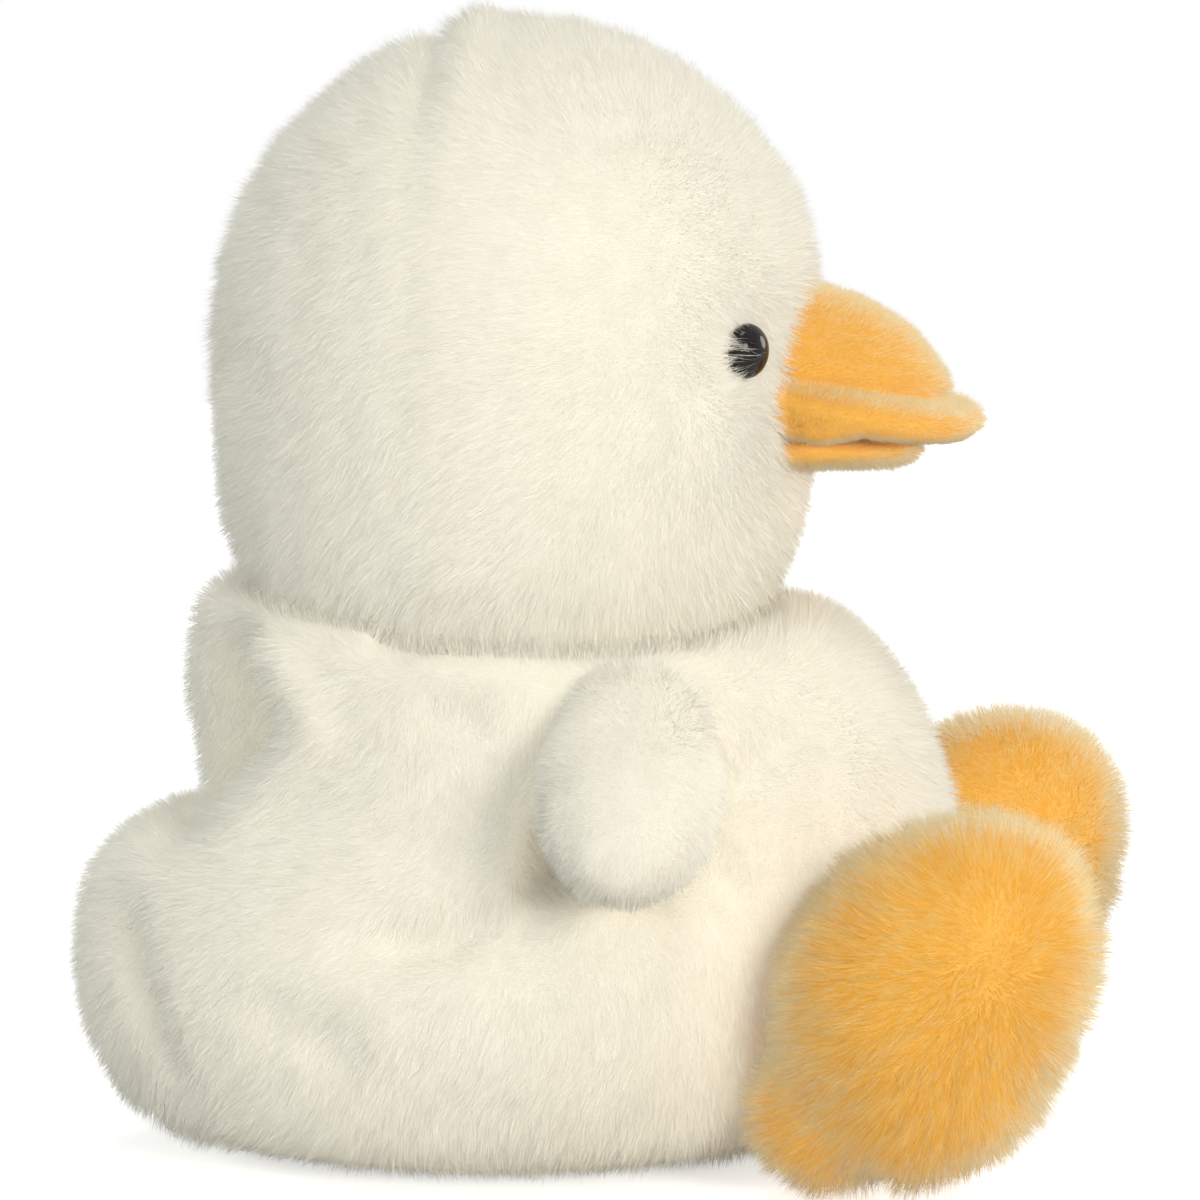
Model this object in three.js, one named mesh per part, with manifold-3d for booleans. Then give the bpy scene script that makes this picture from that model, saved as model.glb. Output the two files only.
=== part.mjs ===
// A palm-size plush goose that sits upright. Sewn plush panels cover loose fibre filling, a cloth pouch of
// pellets weighs the base down, plastic eyes are locked by washers inside the head, and the head, the lower
// bill, the wings and the feet give at their sewn roots.
// Millimetres, +Z up. The goose faces -Y, its right side is -X, and the origin is on the ground under it.
import * as THREE from "three";
import { mergeVertices } from "three/addons/utils/BufferGeometryUtils.js";
import Module from "manifold-3d";

const wasm = await Module();
wasm.setup();
const { degToRad } = THREE.MathUtils;

// Fabric and fits
const PLUSH = 4; // white and orange plush, knitted backing and pile together
const BILL_PLUSH = 2.2; // the shorter plush of the bill
const SEAM_GAP = 0.3; // between pieces that are sewn or pressed together
const ROOT_GAP = 0.6; // between a limb and the body, also round its root in its dimple
const NECK_GAP = 0.8; // between the head's round seat and the bowl that it turns in

// Body: a lofted form whose levels are given as shares of its height, of its largest reach ahead of and behind
// the neck line, and of half its width
const NECK_LINE_Y = 8.5;
const BODY_HEIGHT = 72; // before the head's seat is cut into its top
const BODY_REACH = 50;
const BODY_HALF_WIDTH = 41.5;
const BODY_OUTLINE = [
  { up: -0.056, front: 0.24, back: 0.32, half: 0.241 },
  { up: 0, front: 0.54, back: 0.64, half: 0.602 },
  { up: 0.056, front: 0.74, back: 0.84, half: 0.819 },
  { up: 0.153, front: 0.88, back: 0.96, half: 0.952 },
  { up: 0.306, front: 0.97, back: 1, half: 1 },
  { up: 0.444, front: 1, back: 0.93, half: 0.94 },
  { up: 0.556, front: 0.98, back: 0.74, half: 0.855 },
  { up: 0.694, front: 0.9, back: 0.75, half: 0.783 },
  { up: 0.806, front: 0.77, back: 0.72, half: 0.747 },
  { up: 0.903, front: 0.59, back: 0.65, half: 0.663 },
  { up: 1, front: 0.36, back: 0.4, half: 0.41 },
];
const BASE_SEAM_Z = 6; // the base panel ends here
const BELLY_PANEL_ANGLE = 34; // each side of straight ahead
const BACK_PANEL_ANGLE = 20; // each side of straight back
const POUCH_INSET = 9; // from the plush surface to the pellet pouch
const POUCH_TOP_Z = 30;
const POUCH_CLOTH = 0.8;
const POUCH_MOUTH_RADIUS = 6; // the pouch is filled and tied here

// Head: an egg whose round seat turns in the top of the body
const NECK_RADIUS = 33; // of the seat
const NECK_DEPTH = 27; // how deep the seat sinks into the body's form
const NECK_CREASE_ANGLE = 22; // below level, where the seat ends and the cheeks begin
const NECK_OPENING_ANGLE = 57; // from straight down, where the head's panels end
const HEAD_RISE = 14; // the head's middle, above the seat's
const HEAD_RADIUS = 33.7;
const HEAD_SEAM_BACK = 5; // the seam between face and back panels, behind the neck line
const WADDING_ANGLE = 41; // half angle of the pad of fibre in the neck

// Eyes: six millimetre plastic eyes with a stem and a locking washer
const EYE_DIAMETER = 6;
const EYE_DOME = 2.4;
const EYE_SINK = 2.2; // the back of the dome lies this deep in the pile
const EYE_YAW = 33; // outwards from straight ahead
const EYE_LOWER = 1.7; // under the head's middle
const STEM_DIAMETER = 2;
const STEM_LENGTH = 10;
const WASHER_DIAMETER = 10;
const WASHER_THICKNESS = 1.2;

// Bill: a stuffed dome on a rolled lip, with a shorter flap below
const LIP_LOWER = 11.7; // its middle at the tip, under the head's
const LIP_HALF_WIDTH = 14;
const LIP_OUT = 17.6; // its tip, ahead of the face
const LIP_INTO_FACE = 12.4;
const LIP_THICKNESS = 5.4;
const LIP_DROOP = 9.5;
const DOME_HALF_WIDTH = 11;
const DOME_HALF_LENGTH = 16.5;
const DOME_HALF_HEIGHT = 11.8;
const DOME_OUT = 14.9;
const DOME_RISE = 3.2; // its middle, above the lip's at the tip
const DOME_DROOP = 18;
const FLAP_HALF_WIDTH = 10.5;
const FLAP_OUT = 11.3;
const FLAP_INTO_FACE = 12.7;
const FLAP_THICKNESS = 3.8;
const FLAP_DROOP = 1;
const FLAP_DROP = 2.2; // its middle at the tip, under the lip's
const PAD_ROUNDING = 0.45; // edge radius of a lip or flap, as a part of its thickness

// Limbs: a round root, a swell and a round tip, a width to thickness ratio along the line they turn on, and how
// far they swing on it
const WING = { root: 7.4, swell: 8.6, swellAt: 10.5, length: 25, ratio: 1.18, swing: -65 };
const WING_LOWER = 20.5; // its turning line, under the top of the body's form
const WING_ANGLE = 72; // round the body from straight ahead
const WING_DROOP = 37;
const WING_STANDOFF = 0.6; // a wing's turning line lies this far outside the body's surface
const FOOT = { root: 9, swell: 17.4, swellAt: 18, length: 42.5, ratio: 0.86, swing: 30 };
const FOOT_ANGLE = 43.4;
const FOOT_STANDOFF = 7; // a foot's turning line lies this far outside the body's surface
const FOOT_RISE = 49;
const FOOT_SPLAY = 16;

// Mesh fineness
const BODY_SIDES = 20;
const BODY_RINGS = 10;
const HEAD_SIDES = 24;
const HEAD_STEPS = 3;
const LIMB_SIDES = 12;
const LIMB_STEPS = 2;
const DIMPLE_SIDES = 16;
const SWING_STEPS = 6;
const BILL_SIDES = 12;
const SMALL_SIDES = 10;

const FAR = 300; // larger than the toy, for cutting blocks

// Places that follow from these sizes
const NECK_Z = BODY_HEIGHT - NECK_DEPTH + NECK_RADIUS; // centre of the seat
const WING_Z = BODY_HEIGHT - WING_LOWER;
const HEAD_Z = NECK_Z + HEAD_RISE;
const EYE_Z = HEAD_Z - EYE_LOWER;
const LIP_Z = HEAD_Z - LIP_LOWER;
const FACE_Y = NECK_LINE_Y - HEAD_RADIUS;
const HALF_SEAM = SEAM_GAP / 2;

const LOOKS = {
  whitePlush: { color: 0xf3efe0, roughness: 0.95 },
  orangePlush: { color: 0xf2ad45, roughness: 0.95 },
  fibre: { color: 0xf7f7f3, roughness: 1 },
  eyePlastic: { color: 0x0b0a0c, roughness: 0.08 },
  washerPlastic: { color: 0xe4e4de, roughness: 0.5 },
  pouchCloth: { color: 0xe9e6da, roughness: 0.9 },
  pellets: { color: 0xdfe3e4, roughness: 0.6 },
};

// Solids and their geometry

function solidOf(geometry) {
  const bare = geometry.clone();
  bare.deleteAttribute("normal");
  bare.deleteAttribute("uv");
  const merged = mergeVertices(bare, 1e-4);
  return new wasm.Manifold(
    new wasm.Mesh({
      numProp: 3,
      vertProperties: merged.attributes.position.array,
      triVerts: Uint32Array.from(merged.index.array),
    }),
  );
}

function geometryOf(solid) {
  const { vertProperties, triVerts } = solid.getMesh();
  const geometry = new THREE.BufferGeometry();
  geometry.setAttribute("position", new THREE.BufferAttribute(vertProperties, 3));
  geometry.setIndex(new THREE.BufferAttribute(triVerts, 1));
  geometry.computeVertexNormals();
  return geometry;
}

function addPiece(group, name, look, solid) {
  const mesh = new THREE.Mesh(geometryOf(solid), new THREE.MeshStandardMaterial({ ...look, metalness: 0 }));
  mesh.name = name;
  group.add(mesh);
  return mesh;
}

// A block over everything on one side of a level, along the axis "x", "y" or "z".
function beyond(axis, level, sign) {
  const middle = new THREE.Vector3();
  middle[axis] = level + (sign * FAR) / 2;
  return solidOf(new THREE.BoxGeometry(FAR, FAR, FAR).translate(middle.x, middle.y, middle.z));
}

// A closed skin through stacked rings of points, with a pole at each end.
function loft(rings, firstPole, lastPole) {
  const sides = rings[0].length;
  const points = [firstPole, ...rings.flat(), lastPole];
  const last = points.length - 1;
  const faces = [];
  const at = (ring, side) => 1 + ring * sides + (side % sides);
  for (let side = 0; side < sides; side++) {
    faces.push(0, at(0, side + 1), at(0, side));
    faces.push(last, at(rings.length - 1, side), at(rings.length - 1, side + 1));
    for (let ring = 1; ring < rings.length; ring++) {
      faces.push(at(ring - 1, side), at(ring - 1, side + 1), at(ring, side + 1));
      faces.push(at(ring - 1, side), at(ring, side + 1), at(ring, side));
    }
  }
  return new THREE.BufferGeometry().setFromPoints(points).setIndex(faces);
}

// Body

const bodyShape = new THREE.CubicInterpolant(
  Float32Array.from(BODY_OUTLINE, ({ up }) => up * BODY_HEIGHT),
  Float32Array.from(
    BODY_OUTLINE.flatMap(({ front, back, half }) => [
      front * BODY_REACH,
      back * BODY_REACH,
      half * BODY_HALF_WIDTH,
    ]),
  ),
  3,
);

// A point of the body's surface at a height and an angle from straight ahead, positive to the left.
function bodyPoint(z, angle, inset = 0) {
  const [front, back, half] = bodyShape.evaluate(z);
  const length = (front + back) / 2 - inset;
  return new THREE.Vector3(
    (half - inset) * Math.sin(angle),
    NECK_LINE_Y - (front - back) / 2 - length * Math.cos(angle),
    z,
  );
}

// The body's form, drawn in by an inset and cut flat at the floor height.
function bodyForm(inset, floor = inset) {
  const low = BODY_OUTLINE[0].up * BODY_HEIGHT;
  const high = BODY_OUTLINE.at(-1).up * BODY_HEIGHT;
  const rings = Array.from({ length: BODY_RINGS + 1 }, (_, level) => {
    const z = low + ((high - low) * level) / BODY_RINGS;
    return Array.from({ length: BODY_SIDES }, (_, side) =>
      bodyPoint(z, (2 * Math.PI * side) / BODY_SIDES, inset),
    );
  });
  const pole = (z) => new THREE.Vector3(0, NECK_LINE_Y, z);
  return solidOf(loft(rings, pole(low - 1), pole(high + 1))).subtract(beyond("z", floor, -1));
}

// A wedge out of the neck line, forward or back, with its two faces moved in by a margin.
function bodyWedge(halfAngle, forward, margin) {
  const angle = degToRad(halfAngle);
  const apex = margin / Math.sin(angle);
  const wide = FAR * Math.tan(angle);
  const outline = new THREE.Shape([
    new THREE.Vector2(0, -apex),
    new THREE.Vector2(-wide, -apex - FAR),
    new THREE.Vector2(wide, -apex - FAR),
  ]);
  const prism = new THREE.ExtrudeGeometry(outline, { depth: FAR, bevelEnabled: false });
  if (!forward) prism.rotateZ(Math.PI);
  return solidOf(prism.translate(0, NECK_LINE_Y, 0));
}

function neckBall(radius) {
  const ball = new THREE.SphereGeometry(radius, HEAD_SIDES, HEAD_SIDES / 2);
  return solidOf(ball.rotateX(Math.PI / 2).translate(0, NECK_LINE_Y, NECK_Z));
}

// Head

function upright(profile, sides) {
  return new THREE.LatheGeometry(profile, sides).rotateX(Math.PI / 2).translate(0, NECK_LINE_Y, 0);
}

function headForm(inset) {
  const seat = NECK_RADIUS - inset;
  const dome = HEAD_RADIUS - inset;
  const crease = degToRad(NECK_CREASE_ANGLE);
  const cheek = (HEAD_Z - NECK_Z) / 2;
  const outline = new THREE.Path();
  outline.absarc(0, NECK_Z, seat, -Math.PI / 2, -crease, false);
  outline.bezierCurveTo(
    seat * Math.cos(crease) + cheek * Math.sin(crease),
    NECK_Z - seat * Math.sin(crease) + cheek * Math.cos(crease),
    dome,
    HEAD_Z - cheek,
    dome,
    HEAD_Z,
  );
  outline.absarc(0, HEAD_Z, dome, 0, Math.PI / 2, false);
  return solidOf(upright(outline.getPoints(HEAD_STEPS), HEAD_SIDES));
}

function neckOpening() {
  const angle = degToRad(NECK_OPENING_ANGLE);
  const cone = new THREE.ConeGeometry(FAR * Math.tan(angle), FAR, HEAD_SIDES);
  return solidOf(cone.rotateX(Math.PI / 2).translate(0, NECK_LINE_Y, NECK_Z - FAR / 2));
}

function neckWadding() {
  const outer = NECK_RADIUS;
  const inner = NECK_RADIUS - PLUSH - SEAM_GAP + NECK_GAP;
  const end = -Math.PI / 2 + degToRad(WADDING_ANGLE);
  const outline = new THREE.Path();
  outline.absarc(0, NECK_Z, outer, -Math.PI / 2, end, false);
  outline.absarc(0, NECK_Z, inner, end, -Math.PI / 2, true);
  return solidOf(upright(outline.getPoints(HEAD_STEPS), HEAD_SIDES));
}

// Eyes: made along +Z from the back of the dome, then turned to look out of the face

function towardsFace(geometry, side) {
  const out = HEAD_RADIUS - EYE_SINK;
  geometry.translate(0, 0, out).rotateX(Math.PI / 2);
  return solidOf(geometry.rotateZ(side * degToRad(EYE_YAW)).translate(0, NECK_LINE_Y, EYE_Z));
}

function turned(points, sides) {
  const profile = points.map(([radius, height]) => new THREE.Vector2(radius, height));
  return new THREE.LatheGeometry(profile, sides).rotateX(Math.PI / 2);
}

function eye(side) {
  const radius = EYE_DIAMETER / 2;
  const stem = STEM_DIAMETER / 2;
  const outline = new THREE.Path();
  outline.moveTo(0, -STEM_LENGTH);
  outline.lineTo(stem, -STEM_LENGTH);
  outline.lineTo(stem, 0);
  outline.lineTo(radius, 0);
  outline.absellipse(0, 0, radius, EYE_DOME, 0, Math.PI / 2, false);
  const points = outline.getPoints(HEAD_STEPS).map(({ x, y }) => [x, y]);
  return towardsFace(turned(points, SMALL_SIDES), side);
}

function rod(radius, from, to) {
  return turned([[0, from], [radius, from], [radius, to], [0, to]], SMALL_SIDES);
}

// The washer lies flat inside the face panel, whose inner wall is round but for its facets.
const washerRadius = WASHER_DIAMETER / 2;
const innerRadius = HEAD_RADIUS - PLUSH;
const facetDepth = innerRadius * (2 - Math.cos(Math.PI / HEAD_SIDES) - Math.cos(Math.PI / (8 * HEAD_STEPS)));
const washerSeat = Math.sqrt(innerRadius ** 2 - washerRadius ** 2) - facetDepth - SEAM_GAP;
const washerTop = washerSeat - (HEAD_RADIUS - EYE_SINK);

function washer(side) {
  const hole = STEM_DIAMETER / 2 + SEAM_GAP;
  const low = washerTop - WASHER_THICKNESS;
  const ring = [[hole, low], [washerRadius, low], [washerRadius, washerTop], [hole, washerTop], [hole, low]];
  return towardsFace(turned(ring, SMALL_SIDES), side);
}

// What the face panel loses to an eye: a seat in the pile and a hole for the stem.
function eyeSeat(side) {
  const seat = towardsFace(rod(EYE_DIAMETER / 2 + SEAM_GAP, -SEAM_GAP, FAR), side);
  return seat.add(towardsFace(rod(STEM_DIAMETER / 2 + SEAM_GAP, -STEM_LENGTH, FAR), side));
}

// What the filling loses to an eye: room for the washer and for the end of the stem.
function eyePocket(side) {
  const room = towardsFace(rod(washerRadius + SEAM_GAP, washerTop - WASHER_THICKNESS - SEAM_GAP, FAR), side);
  const end = rod(STEM_DIAMETER / 2 + SEAM_GAP, -STEM_LENGTH - SEAM_GAP, FAR);
  return room.add(towardsFace(end, side));
}

// Bill: flat oval pads with round edges, and an oval dome, all drooping a little towards the tip

function ovalPad(halfWidth, out, intoFace, thickness, droop, z) {
  const edge = PAD_ROUNDING * thickness;
  const halfDepth = (out + intoFace) / 2;
  const outline = new THREE.Shape();
  outline.absellipse(0, 0, halfWidth - edge, halfDepth - edge, 0, 2 * Math.PI, false, 0);
  const pad = new THREE.ExtrudeGeometry(outline, {
    depth: thickness - 2 * edge,
    bevelThickness: edge,
    bevelSize: edge,
    bevelSegments: 3,
    curveSegments: BILL_SIDES,
  });
  pad.translate(0, halfDepth, -(thickness - 2 * edge) / 2);
  return solidOf(pad.rotateX(degToRad(droop)).translate(0, FACE_Y - out, z));
}

// The dome stands on the lip, from a height over the lip's middle plane.
function billDome(inset, height) {
  const dome = new THREE.SphereGeometry(1, BILL_SIDES, BILL_SIDES);
  dome.scale(DOME_HALF_WIDTH - inset, DOME_HALF_LENGTH - inset, DOME_HALF_HEIGHT - inset);
  dome.rotateX(degToRad(DOME_DROOP));
  dome.translate(0, FACE_Y - DOME_OUT + DOME_HALF_LENGTH, LIP_Z + DOME_RISE);
  const below = new THREE.BoxGeometry(FAR, FAR, FAR).translate(0, 0, height - FAR / 2);
  below.rotateX(degToRad(LIP_DROOP)).translate(0, FACE_Y - LIP_OUT, LIP_Z);
  return solidOf(dome).subtract(solidOf(below));
}

// Limbs: made along +X from the middle of the round root, which turns about Y

function limbForm(limb, inset) {
  const { root, swell, swellAt, length, ratio } = limb;
  const outline = new THREE.Path();
  outline.absarc(0, 0, root - inset, -Math.PI / 2, 0, false);
  outline.bezierCurveTo(root - inset, swellAt / 3, swell - inset, swellAt / 2, swell - inset, swellAt);
  outline.absellipse(0, swellAt, swell - inset, length - inset - swellAt, 0, Math.PI / 2, false);
  const form = new THREE.LatheGeometry(outline.getPoints(LIMB_STEPS), LIMB_SIDES);
  form.rotateZ(-Math.PI / 2);
  const across = (swell * ratio - inset) / (swell - inset);
  return form.scale(1, across, 1);
}

// The dimple in the body where a limb's root turns, with a gap round the root.
function limbDimple(limb, gap) {
  const dimple = new THREE.SphereGeometry(limb.root + gap, DIMPLE_SIDES, DIMPLE_SIDES / 2);
  return dimple.scale(1, (limb.root * limb.ratio + gap) / (limb.root + gap), 1);
}

// A group whose X axis runs along a limb, with Y along the line that it turns on.
function limbGroup(along, turning, place) {
  const group = new THREE.Group();
  const basis = new THREE.Matrix4().makeBasis(along, turning, along.clone().cross(turning));
  group.applyMatrix4(basis.setPosition(place));
  group.updateMatrixWorld(true);
  return group;
}

function wingGroup(side) {
  const droop = degToRad(WING_DROOP);
  const place = bodyPoint(WING_Z, side * degToRad(WING_ANGLE), -WING_STANDOFF);
  const along = new THREE.Vector3(side * Math.cos(droop), 0, -Math.sin(droop));
  return limbGroup(along, new THREE.Vector3(0, side, 0), place);
}

function footGroup(side) {
  const rise = degToRad(FOOT_RISE);
  const splay = degToRad(FOOT_SPLAY);
  const place = bodyPoint(FOOT.root + SEAM_GAP, side * degToRad(FOOT_ANGLE), -FOOT_STANDOFF);
  const along = new THREE.Vector3(
    side * Math.sin(splay) * Math.cos(rise),
    -Math.cos(splay) * Math.cos(rise),
    Math.sin(rise),
  );
  return limbGroup(along, new THREE.Vector3(Math.cos(splay), side * Math.sin(splay), 0), place);
}

// Assembly

const goose = new THREE.Group();
goose.name = "plush_goose";
const sides = [
  { name: "right", side: -1 },
  { name: "left", side: 1 },
];
const limbs = sides.flatMap(({ name, side }) => [
  {
    group: wingGroup(side),
    limb: WING,
    name: `${name}_wing`,
    panels: ["top", "under"],
    look: LOOKS.whitePlush,
  },
  {
    group: footGroup(side),
    limb: FOOT,
    name: `${name}_foot`,
    panels: ["top", "sole"],
    look: LOOKS.orangePlush,
  },
]);
const cutLimbRoots = (solid, gap) =>
  limbs.reduce(
    (left, { group, limb }) =>
      left.subtract(solidOf(limbDimple(limb, gap).applyMatrix4(group.matrixWorld))),
    solid,
  );

// Body panels, filling and pellet pouch

const body = new THREE.Group();
goose.add(body);
const bowl = neckBall(NECK_RADIUS + NECK_GAP);
const bodyShell = cutLimbRoots(bodyForm(0).subtract(bodyForm(PLUSH)).subtract(bowl), ROOT_GAP);
const aboveBase = bodyShell.subtract(beyond("z", BASE_SEAM_Z + HALF_SEAM, -1));
const sidesOnly = aboveBase
  .subtract(bodyWedge(BELLY_PANEL_ANGLE, true, -HALF_SEAM))
  .subtract(bodyWedge(BACK_PANEL_ANGLE, false, -HALF_SEAM));
const bodyPanels = {
  base_cover: bodyShell.subtract(beyond("z", BASE_SEAM_Z - HALF_SEAM, 1)),
  belly_cover: aboveBase.intersect(bodyWedge(BELLY_PANEL_ANGLE, true, HALF_SEAM)),
  back_cover: aboveBase.intersect(bodyWedge(BACK_PANEL_ANGLE, false, HALF_SEAM)),
};
for (const [name, panel] of Object.entries(bodyPanels)) {
  addPiece(body, name, LOOKS.whitePlush, panel);
}
for (const { name, side } of sides) {
  addPiece(body, `${name}_side_cover`, LOOKS.whitePlush, sidesOnly.intersect(beyond("x", 0, side)));
}
const pouchFloor = PLUSH + SEAM_GAP;
const pouchForm = (inset, floor) =>
  bodyForm(POUCH_INSET + inset, floor).subtract(beyond("z", POUCH_TOP_Z - inset, 1));
const mouth = solidOf(
  new THREE.CylinderGeometry(POUCH_MOUTH_RADIUS, POUCH_MOUTH_RADIUS, 4 * POUCH_CLOTH, SMALL_SIDES)
    .rotateX(Math.PI / 2)
    .translate(0, NECK_LINE_Y, POUCH_TOP_Z),
);
const pouchInside = pouchForm(POUCH_CLOTH, pouchFloor + POUCH_CLOTH);
const pelletGap = POUCH_CLOTH + SEAM_GAP;
const pouch = pouchForm(0, pouchFloor).subtract(pouchInside).subtract(mouth);
addPiece(body, "pellet_pouch", LOOKS.pouchCloth, pouch);
addPiece(body, "pellets", LOOKS.pellets, pouchForm(pelletGap, pouchFloor + pelletGap));
addPiece(
  body,
  "body_filling",
  LOOKS.fibre,
  cutLimbRoots(bodyForm(PLUSH + SEAM_GAP).subtract(bowl), ROOT_GAP).subtract(pouchForm(-SEAM_GAP, 0)),
);

// Neck and head

const neck = new THREE.Group();
const head = new THREE.Group();
goose.add(neck);
neck.add(head);
addPiece(neck, "neck_wadding", LOOKS.fibre, neckWadding());
const headShell = headForm(0).subtract(headForm(PLUSH)).subtract(neckOpening());
const seamY = NECK_LINE_Y + HEAD_SEAM_BACK;
const face = sides.reduce(
  (left, { side }) => left.subtract(eyeSeat(side)),
  headShell.subtract(beyond("y", seamY - HALF_SEAM, 1)),
);
addPiece(head, "face_cover", LOOKS.whitePlush, face);
addPiece(head, "head_back_cover", LOOKS.whitePlush, headShell.subtract(beyond("y", seamY + HALF_SEAM, -1)));
addPiece(
  head,
  "head_filling",
  LOOKS.fibre,
  sides.reduce((left, { side }) => left.subtract(eyePocket(side)), headForm(PLUSH + SEAM_GAP)),
);
for (const { name, side } of sides) {
  addPiece(head, `${name}_eye`, LOOKS.eyePlastic, eye(side));
  addPiece(head, `${name}_eye_washer`, LOOKS.washerPlastic, washer(side));
}

// Bill

const faceRoom = headForm(-SEAM_GAP);
const lip = ovalPad(LIP_HALF_WIDTH, LIP_OUT, LIP_INTO_FACE, LIP_THICKNESS, LIP_DROOP, LIP_Z);
const lipTop = LIP_THICKNESS / 2;
const upperBill = billDome(0, 0).add(lip).subtract(billDome(BILL_PLUSH, lipTop)).subtract(faceRoom);
const billFilling = billDome(BILL_PLUSH + SEAM_GAP, lipTop + SEAM_GAP).subtract(faceRoom);
addPiece(head, "upper_bill_cover", LOOKS.orangePlush, upperBill);
addPiece(head, "upper_bill_filling", LOOKS.fibre, billFilling);
const lowerBill = new THREE.Group();
head.add(lowerBill);
const lipRoom = ovalPad(
  LIP_HALF_WIDTH + SEAM_GAP,
  LIP_OUT + SEAM_GAP,
  LIP_INTO_FACE + SEAM_GAP,
  LIP_THICKNESS + 2 * SEAM_GAP,
  LIP_DROOP,
  LIP_Z,
);
const flap = ovalPad(
  FLAP_HALF_WIDTH,
  FLAP_OUT,
  FLAP_INTO_FACE,
  FLAP_THICKNESS,
  FLAP_DROOP,
  LIP_Z - FLAP_DROP,
);
addPiece(lowerBill, "lower_bill_cover", LOOKS.orangePlush, flap.subtract(lipRoom).subtract(faceRoom));

// Limbs: two panels and their filling, cut back where the body is as they swing

const bodyRoom = geometryOf(cutLimbRoots(bodyForm(-ROOT_GAP, 0), SEAM_GAP));
for (const { group, limb, name, panels, look } of limbs) {
  goose.add(group);
  const here = group.matrixWorld.clone().invert();
  const clearOfBody = (solid) =>
    [...Array(SWING_STEPS + 1).keys()].reduce((left, step) => {
      const swing = degToRad((limb.swing * step) / SWING_STEPS);
      return left.subtract(solidOf(bodyRoom.clone().applyMatrix4(here).rotateY(-swing)));
    }, solid);
  const shell = clearOfBody(solidOf(limbForm(limb, 0)).subtract(solidOf(limbForm(limb, PLUSH))));
  const filling = clearOfBody(solidOf(limbForm(limb, PLUSH + SEAM_GAP)));
  addPiece(group, `${name}_${panels[0]}_cover`, look, shell.subtract(beyond("z", HALF_SEAM, -1)));
  addPiece(group, `${name}_${panels[1]}_cover`, look, shell.subtract(beyond("z", -HALF_SEAM, 1)));
  addPiece(group, `${name}_filling`, LOOKS.fibre, filling);
}

export default goose;
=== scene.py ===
import math

import bmesh
import bpy
import numpy as np
from mathutils import Matrix, Vector
from mathutils.bvhtree import BVHTree


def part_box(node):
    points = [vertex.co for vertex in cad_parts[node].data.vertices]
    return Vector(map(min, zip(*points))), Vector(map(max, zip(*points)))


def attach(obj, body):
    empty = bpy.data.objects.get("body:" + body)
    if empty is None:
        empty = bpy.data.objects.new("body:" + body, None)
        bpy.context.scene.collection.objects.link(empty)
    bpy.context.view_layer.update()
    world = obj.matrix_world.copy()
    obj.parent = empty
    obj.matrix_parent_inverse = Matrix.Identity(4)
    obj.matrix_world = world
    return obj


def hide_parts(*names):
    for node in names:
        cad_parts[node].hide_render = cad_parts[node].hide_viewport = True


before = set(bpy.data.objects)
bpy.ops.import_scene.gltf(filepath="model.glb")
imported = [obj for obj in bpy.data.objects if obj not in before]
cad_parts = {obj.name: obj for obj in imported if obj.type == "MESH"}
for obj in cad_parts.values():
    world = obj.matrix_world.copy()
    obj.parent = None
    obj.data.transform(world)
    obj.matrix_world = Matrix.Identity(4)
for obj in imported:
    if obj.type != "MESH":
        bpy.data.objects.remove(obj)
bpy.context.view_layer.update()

# Sizes in millimetres. The goose faces -Y, its right side is -X, and the camera looks at its right side.
MM = 0.001
NECK = np.array([0, 8.5, 78])  # the point that the head turns and nods about
BOWL_RADIUS = 32.9  # the hollow in the top of the body
SEAT_RADIUS = 33  # the round underside of the head
SEAT_END = 22  # degrees below level
HEAD_Z = 92
HEAD_RADIUS = 33.7
HEAD_SEAM_Y = 13.5
EYE_YAW = 33
EYE_Z = 90.3
EYE_BACK = 31.5  # the back of the eye's dome, from the head's axis
EYE_RADIUS = 3
EYE_DOME = 2.4
FACE_Y = -25.2

BODY_LEVELS = np.array([-4, 0, 4, 11, 22, 32, 40, 50, 58, 65, 72], float)
BODY_FRONT = np.array([12, 27, 37, 44, 48.5, 50, 49, 45, 38.5, 29.5, 18])
BODY_BACK = np.array([16, 32, 42, 48, 50, 46.5, 37, 37.5, 36, 32.5, 20])
BODY_HALF = np.array([10, 25, 34, 39.5, 41.5, 39, 35.5, 32.5, 31, 27.5, 17])
BASE_SHARE = 0.15  # shares of the way from the middle of the base to the bottom of the hollow
RIM_SHARE = 0.74
BASE_SEAM_Z = 6
BELLY_ANGLE = math.radians(34)
BACK_ANGLE = math.radians(20)

WING = dict(root=7.4, swell=8.6, swell_at=10.5, length=25, ratio=1.18)
WING_PLACE = (31.185, -7.589, 51.5)
WING_ALONG = (0.79864, 0, -0.60182)
WING_TURNING = (0, 1, 0)
FOOT = dict(root=9, swell=17.4, swell_at=18, length=42.5, ratio=0.86)
FOOT_PLACE = (31.385, -27.098, 9.3)
FOOT_ALONG = (0.18083, -0.63064, 0.75471)
FOOT_TURNING = (0.96126, 0.27564, 0)

SIDES = {"right": -1, "left": 1}

# Pile: strand length, lean from upright, strands per square millimetre
BODY_PILE = dict(length=3.0, lean=46, thick=10)
FACE_PILE = dict(length=2.7, lean=48, thick=14)
NAPE_PILE = dict(length=3.2, lean=46, thick=13)
WING_PILE = dict(length=2.1, lean=48, thick=18)
FOOT_PILE = dict(length=3.8, lean=36, thick=15)
BILL_PILE = dict(length=1.6, lean=34, thick=30)
ROUNDNESS = 0.65  # how much a strand is shaded as a round fibre, against as a part of the skin
PRESSED = 1.0  # pile whose roots lie up to this deep in another piece is pressed flat, and deeper pile is left out


# Forms


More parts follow.
